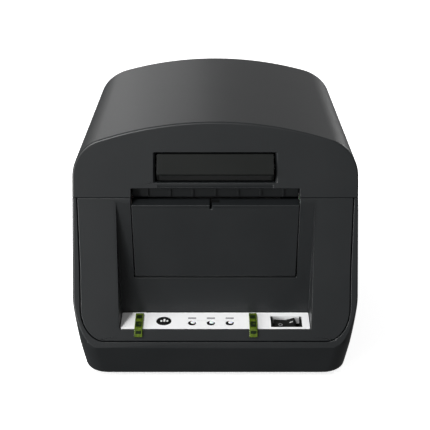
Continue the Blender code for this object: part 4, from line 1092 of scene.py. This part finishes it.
def peel_flap():
    """The flap in the recess wall, turned back at its top towards the platen, with a groove
    in the top, a black pad of painted shade in the groove's dash, and the free roller between two
    ears behind it."""
    outline = arc(FLAP_AXIS, FLAP_BARREL, 180, 330, 10)
    back = [(wall_y(70.0, FLAP_THICK), 70.0), (wall_y(100.0, FLAP_THICK), 100.0),
            (wall_y(103.0, FLAP_THICK + 1.0), 103.2, 1.0), (-67.2, 105.8, 0.3), (-67.2, 107.6, 0.5),
            (face_y(FLAP_TOP_Z), FLAP_TOP_Z, 0.7), (wall_y(104.6), 104.6, 0.5)]
    made = extruded("flap_panel", rounded_outline(outline + back, 4), "X", -60, 60)
    low, high = span("peel_flap")
    half_top, half_bottom = 52.3, 50.8
    slope = (half_top - half_bottom) / (FLAP_TOP_Z - FLAP_AXIS_Z)
    bottom, top = half_bottom - 3 * slope, half_top + 3.6 * slope
    foot = FLAP_AXIS_Z - 3
    sides = [(-bottom, foot), (bottom, foot), (top, 110.0), (-top, 110.0)]
    keep_inside(made, extruded("sides", sides, "Y", -105, -50))
    for start, end in FLAP_GROOVES:
        cut(made, block("groove", (*start, 103.9), (*end, 110.0)))
    join(made, cross_rod("pins", low.x, high.x, FLAP_AXIS, FLAP_PIN))
    ear = [(wall_y(88.0, 1.0), 88.0), (-67.0, 90.8, 1.0), (-66.4, 93.4, 1.0),
           (-66.4, 98.0, 1.0), (-69.5, 100.8, 1.0), (wall_y(101.0, 1.0), 101.0)]
    for side in (-1, 1):
        join(made, extruded("ear", rounded_outline(ear, 3), "X", *across(side, 44.2, 46.4)))
    cut(made, cross_rod("bore", -50, 50, ROLLER_AXIS, 1.4))
    soften(made, 0.3)
    finish_piece(made, "flap", "black_case", "peel_flap")
    # A black pad in the groove's dash is painted shade, standing in for the dark of a deep slot
    near, far = (corner[1] for corner in FLAP_GROOVES[1])
    dash = [(near, 104.6), (near, 106.94), (far, 107.37), (far, 104.6)]
    detail(extruded("flap_groove_pad", dash, "X", -2.3, 2.5, KEY_BLACK_AND_SHADE_PAINT), "flap", "black_fitting")
    radius = 4.0
    roll = turned("free_roller", (-43.6, *ROLLER_AXIS), (43.6, *ROLLER_AXIS),
                  [(0.0, radius - 0.4), (0.004, radius), (0.996, radius), (1.0, radius - 0.4)])
    join(roll, cross_rod("journal", -47.0, 47.0, ROLLER_AXIS, 1.2))
    shade(roll, 40)
    finish_piece(roll, "flap_roller", "rubber", "peel_roller")


def release_lever():
    """The paddle in the face: nearly flush above, standing proud at its rounded lower edge."""
    low, high = span("release_lever")
    edge_y, edge_z = LEVER_EDGE
    foot_y, foot_z = LEVER_BOTTOM
    outline = [
        (face_y(LEVER_TOP, 0.1), LEVER_TOP, 0.5),
        (edge_y, edge_z, 0.9),
        (foot_y, foot_z, 0.5),
        (foot_y + 2.8, foot_z, 0.3),
        (edge_y + 4.5, edge_z),
        (LATCH_Y - 3.0, LATCH_Z - 1.5),
        (face_y(LEVER_TOP, 2.6), LEVER_TOP),
    ]
    made = extruded("lever_paddle", rounded_outline(outline), "X", low.x - 1, high.x + 1)
    face = [(low.x, foot_z - 2.0, 2.6), (high.x, foot_z - 2.0, 2.6), (high.x, LEVER_TOP + 1.0),
            (low.x, LEVER_TOP + 1.0)]
    keep_inside(made, extruded("face", rounded_outline(face, 6), "Y", -90, -50))
    join(made, cross_rod("hub", -33.0, 33.0, LATCH_AXIS, 3.6))
    cut(made, cross_rod("bore", -40.0, 40.0, LATCH_AXIS, 2.1))
    soften(made, 0.35)
    # The paddle takes the darker lever black: painted shade
    finish_piece(made, "lever", "black_case", "release_lever", LEVER_SHADE_PAINT)
    # A lighter matt band along its underside, as painted light
    slope = Vector((foot_y - edge_y, foot_z - edge_z)).normalized()
    out = Vector((slope.y, -slope.x))
    start, end = Vector(LEVER_EDGE) + slope * 1.1, Vector(LEVER_BOTTOM) - slope * 0.6
    strip = [tuple(start + out * 0.06), tuple(end + out * 0.06), tuple(end - out * 0.3),
             tuple(start - out * 0.3)]
    lit_underside_band = extruded("lever_grip_band", strip, "X", low.x + 1.6, high.x - 1.6, UNDERSIDE_LIGHT_PAINT)
    detail(lit_underside_band, "lever", "black_case")


# ---- Top cover ----


def top_cover(outer, inner):
    """The upper shell with its hinge barrel, the lever's opening and the label slot."""
    made = copy_of(outer, "cover_shell")
    barrel = cross_rod("barrel", -HALF - 2, HALF + 2, HINGE_AXIS, BARREL_RADIUS)
    keep_inside(barrel, copy_of(outer, "skin"))
    keep_inside(made, slab(PARTING + FITTING_GAP / 2, HEIGHT + 10))
    cut(made, inner)
    join(made, barrel)
    for side in (-1, 1):
        knuckle = across(side, HINGE_ARM[0] - 0.4, HINGE_ARM[1] + 0.4)
        cut(made, cross_rod("knuckle", *knuckle, HINGE_AXIS, BARREL_RADIUS + 0.35))
        cut(made, cross_rod("bore", *across(side, 60.0, 78.0), HINGE_AXIS, HINGE_PIN))
    half = span("release_lever")[1].x + 1.1
    low, high = LEVER_OPENING
    cut(made, block("opening", (-half, -85, low), (half, -50, high)))
    for side in (-1, 1):
        chamfer = [(side * (half - 1.0), -2.0), (side * (half + 2.2), -1.0),
                   (side * (half + 1.2), 0.0), (side * half, 1.4), (side * (half - 1.0), 1.4)]
        cut(made, leaning_prism("chamfer", chamfer, low, high))
    # A rounded lip between the lever's opening and the label slot
    lip = [(face_y(119.3), 119.3), (face_y(118.4, 0.1), 118.4), (face_y(117.4, 0.4), 117.4),
           (face_y(116.6, 0.9), 116.6), (-100.0, 116.0), (-100.0, 119.3)]
    cut(made, extruded("lip", lip, "X", 1.5 - half, half - 1.5))
    cut(made, block("slot", (-SLOT_HALF, -95, 100), (SLOT_HALF, -62, SLOT_TOP)))
    for x in (-51.8, 51.8):
        join(made, block("rib", (x - 1.0, -57.0, 126.6), (x + 1.0, -8.0, 148.2)))
    soften(made, 0.3)
    finish_piece(made, "cover", "black_case", "top_cover")


# ---- Mechanism ----

BLACKENED = {"latch_shaft", "latch_hook_left", "latch_hook_right"}
TURNED_NODES = {"platen_shaft", "head_pivot_pin", "hinge_pin_left",
                "hinge_pin_right", "idler_post", "motor_pinion"}


def carry_over():
    """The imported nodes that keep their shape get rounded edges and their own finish."""
    for name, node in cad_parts.items():
        if name in REPLACED:
            continue
        slot = node.data.materials[0].name.split(".")[0]
        node.data.materials.clear()
        finish = TURNED if name in TURNED_NODES else FINISHES[slot]
        node.data.materials.append(BLACK_OXIDE if name in BLACKENED else finish)
        round_edges(node, 0.2, 2)


# ---- Stage ----


def area_light(name, place, target, size, power):
    light = bpy.data.lights.new(name, "AREA")
    light.shape = "RECTANGLE"
    light.size, light.size_y = size
    light.energy = power
    made = add_object(name, light)
    made.location = place
    made.rotation_euler = (Vector(target) - Vector(place)).to_track_quat("-Z", "Y").to_euler()


# Name, place, target, size in metres and power in watts of each soft light
LIGHTS = [
    ("key", (-0.82, -0.95, 1.85), (0.0, -0.06, 0.06), (0.35, 0.35), 29.5),
    ("side", (-1.9, -0.9, 0.55), (0.0, -0.1, 0.08), (0.8, 0.8), 22.3),
    ("low_left", (-1.62, -2.02, 0.20), (0.0, -0.10, 0.06), (0.5, 0.5), 28.0),
    ("back_left", (-0.85, 1.80, 0.78), (0.0, 0.0, 0.14), (0.9, 0.5), 1.35),
    ("back_middle", (-0.42, 1.95, 0.80), (0.0, 0.0, 0.14), (0.7, 0.5), 0.92),
    ("back_right", (1.25, 1.55, 0.75), (0.0, 0.0, 0.14), (0.5, 0.5), 6.6),
]
SKY = 0.300
GROUND = 0.156


def world_light():
    """An even studio: a grey sky over a darker lower half."""
    world = bpy.data.worlds.new("studio")
    world.use_nodes = True
    tree = world.node_tree
    place = tree.nodes.new("ShaderNodeTexCoord").outputs["Generated"]
    split = tree.nodes.new("ShaderNodeSeparateXYZ")
    ramp = tree.nodes.new("ShaderNodeValToRGB")
    ramp.color_ramp.elements[0].position = 0.0
    ramp.color_ramp.elements[1].position = 0.12
    ramp.color_ramp.elements[0].color = (GROUND, GROUND, GROUND, 1.0)
    ramp.color_ramp.elements[1].color = (SKY, SKY, SKY, 1.0)
    tree.links.new(place, split.inputs["Vector"])
    tree.links.new(split.outputs["Z"], ramp.inputs["Fac"])
    tree.links.new(ramp.outputs["Color"], tree.nodes["Background"].inputs["Color"])
    return world


STAGE_REACH = 6000.0


def stage():
    """The floor, a backdrop wall in the same paint far behind it, the lights and the camera."""
    scene = bpy.context.scene
    scene.view_settings.view_transform = "Standard"
    scene.view_settings.look = "None"
    scene.world = world_light()
    paint, reach = pale_floor(), STAGE_REACH
    floor = block("floor", (-reach, -reach, -20.0), (reach, reach, 0.0), paint)
    wall = turned("backdrop", (0, 0, -20), (0, 0, 4000), [(0.0, reach - 10), (1.0, reach - 10)],
                  paint, 64)
    for made in (floor, wall):
        made.visible_diffuse = False
        made.visible_glossy = False
    wall.visible_transmission = False
    wall.visible_shadow = False
    for name, place, target, size, power in LIGHTS:
        area_light(name, place, target, size, power)

    camera = bpy.data.cameras.new("camera")
    camera.lens = 89.12
    camera.sensor_width = 36.0
    camera.shift_x = -0.0007
    scene.camera = add_object("camera", camera)
    scene.camera.location = (0.0, -0.6918, 0.3504)
    scene.camera.rotation_euler = (math.radians(90 - 22.15), 0.0, 0.0)


# ---- Assembly ----


def main():
    for old in [item for item in bpy.data.objects if item.type in ("CAMERA", "LIGHT")]:
        bpy.data.objects.remove(old)
    outer = envelope(0.0, "outer", 4, FACE_EDGE)
    inner = envelope(WALL, "inner", 2)
    lower_housing(outer, copy_of(inner, "inner_low"))
    front_bezel(outer)
    top_cover(outer, inner)
    bpy.data.objects.remove(outer)
    bottom_plate()
    feet_and_screws()
    control_strip()
    feed_button()
    status_lamps()
    power_rocker()
    rocker_body()
    for side in ("left", "right"):
        liner_guide(f"green_skid_{side}", f"liner_guide_{side}")
    peel_flap()
    release_lever()
    carry_over()
    stage()


main()
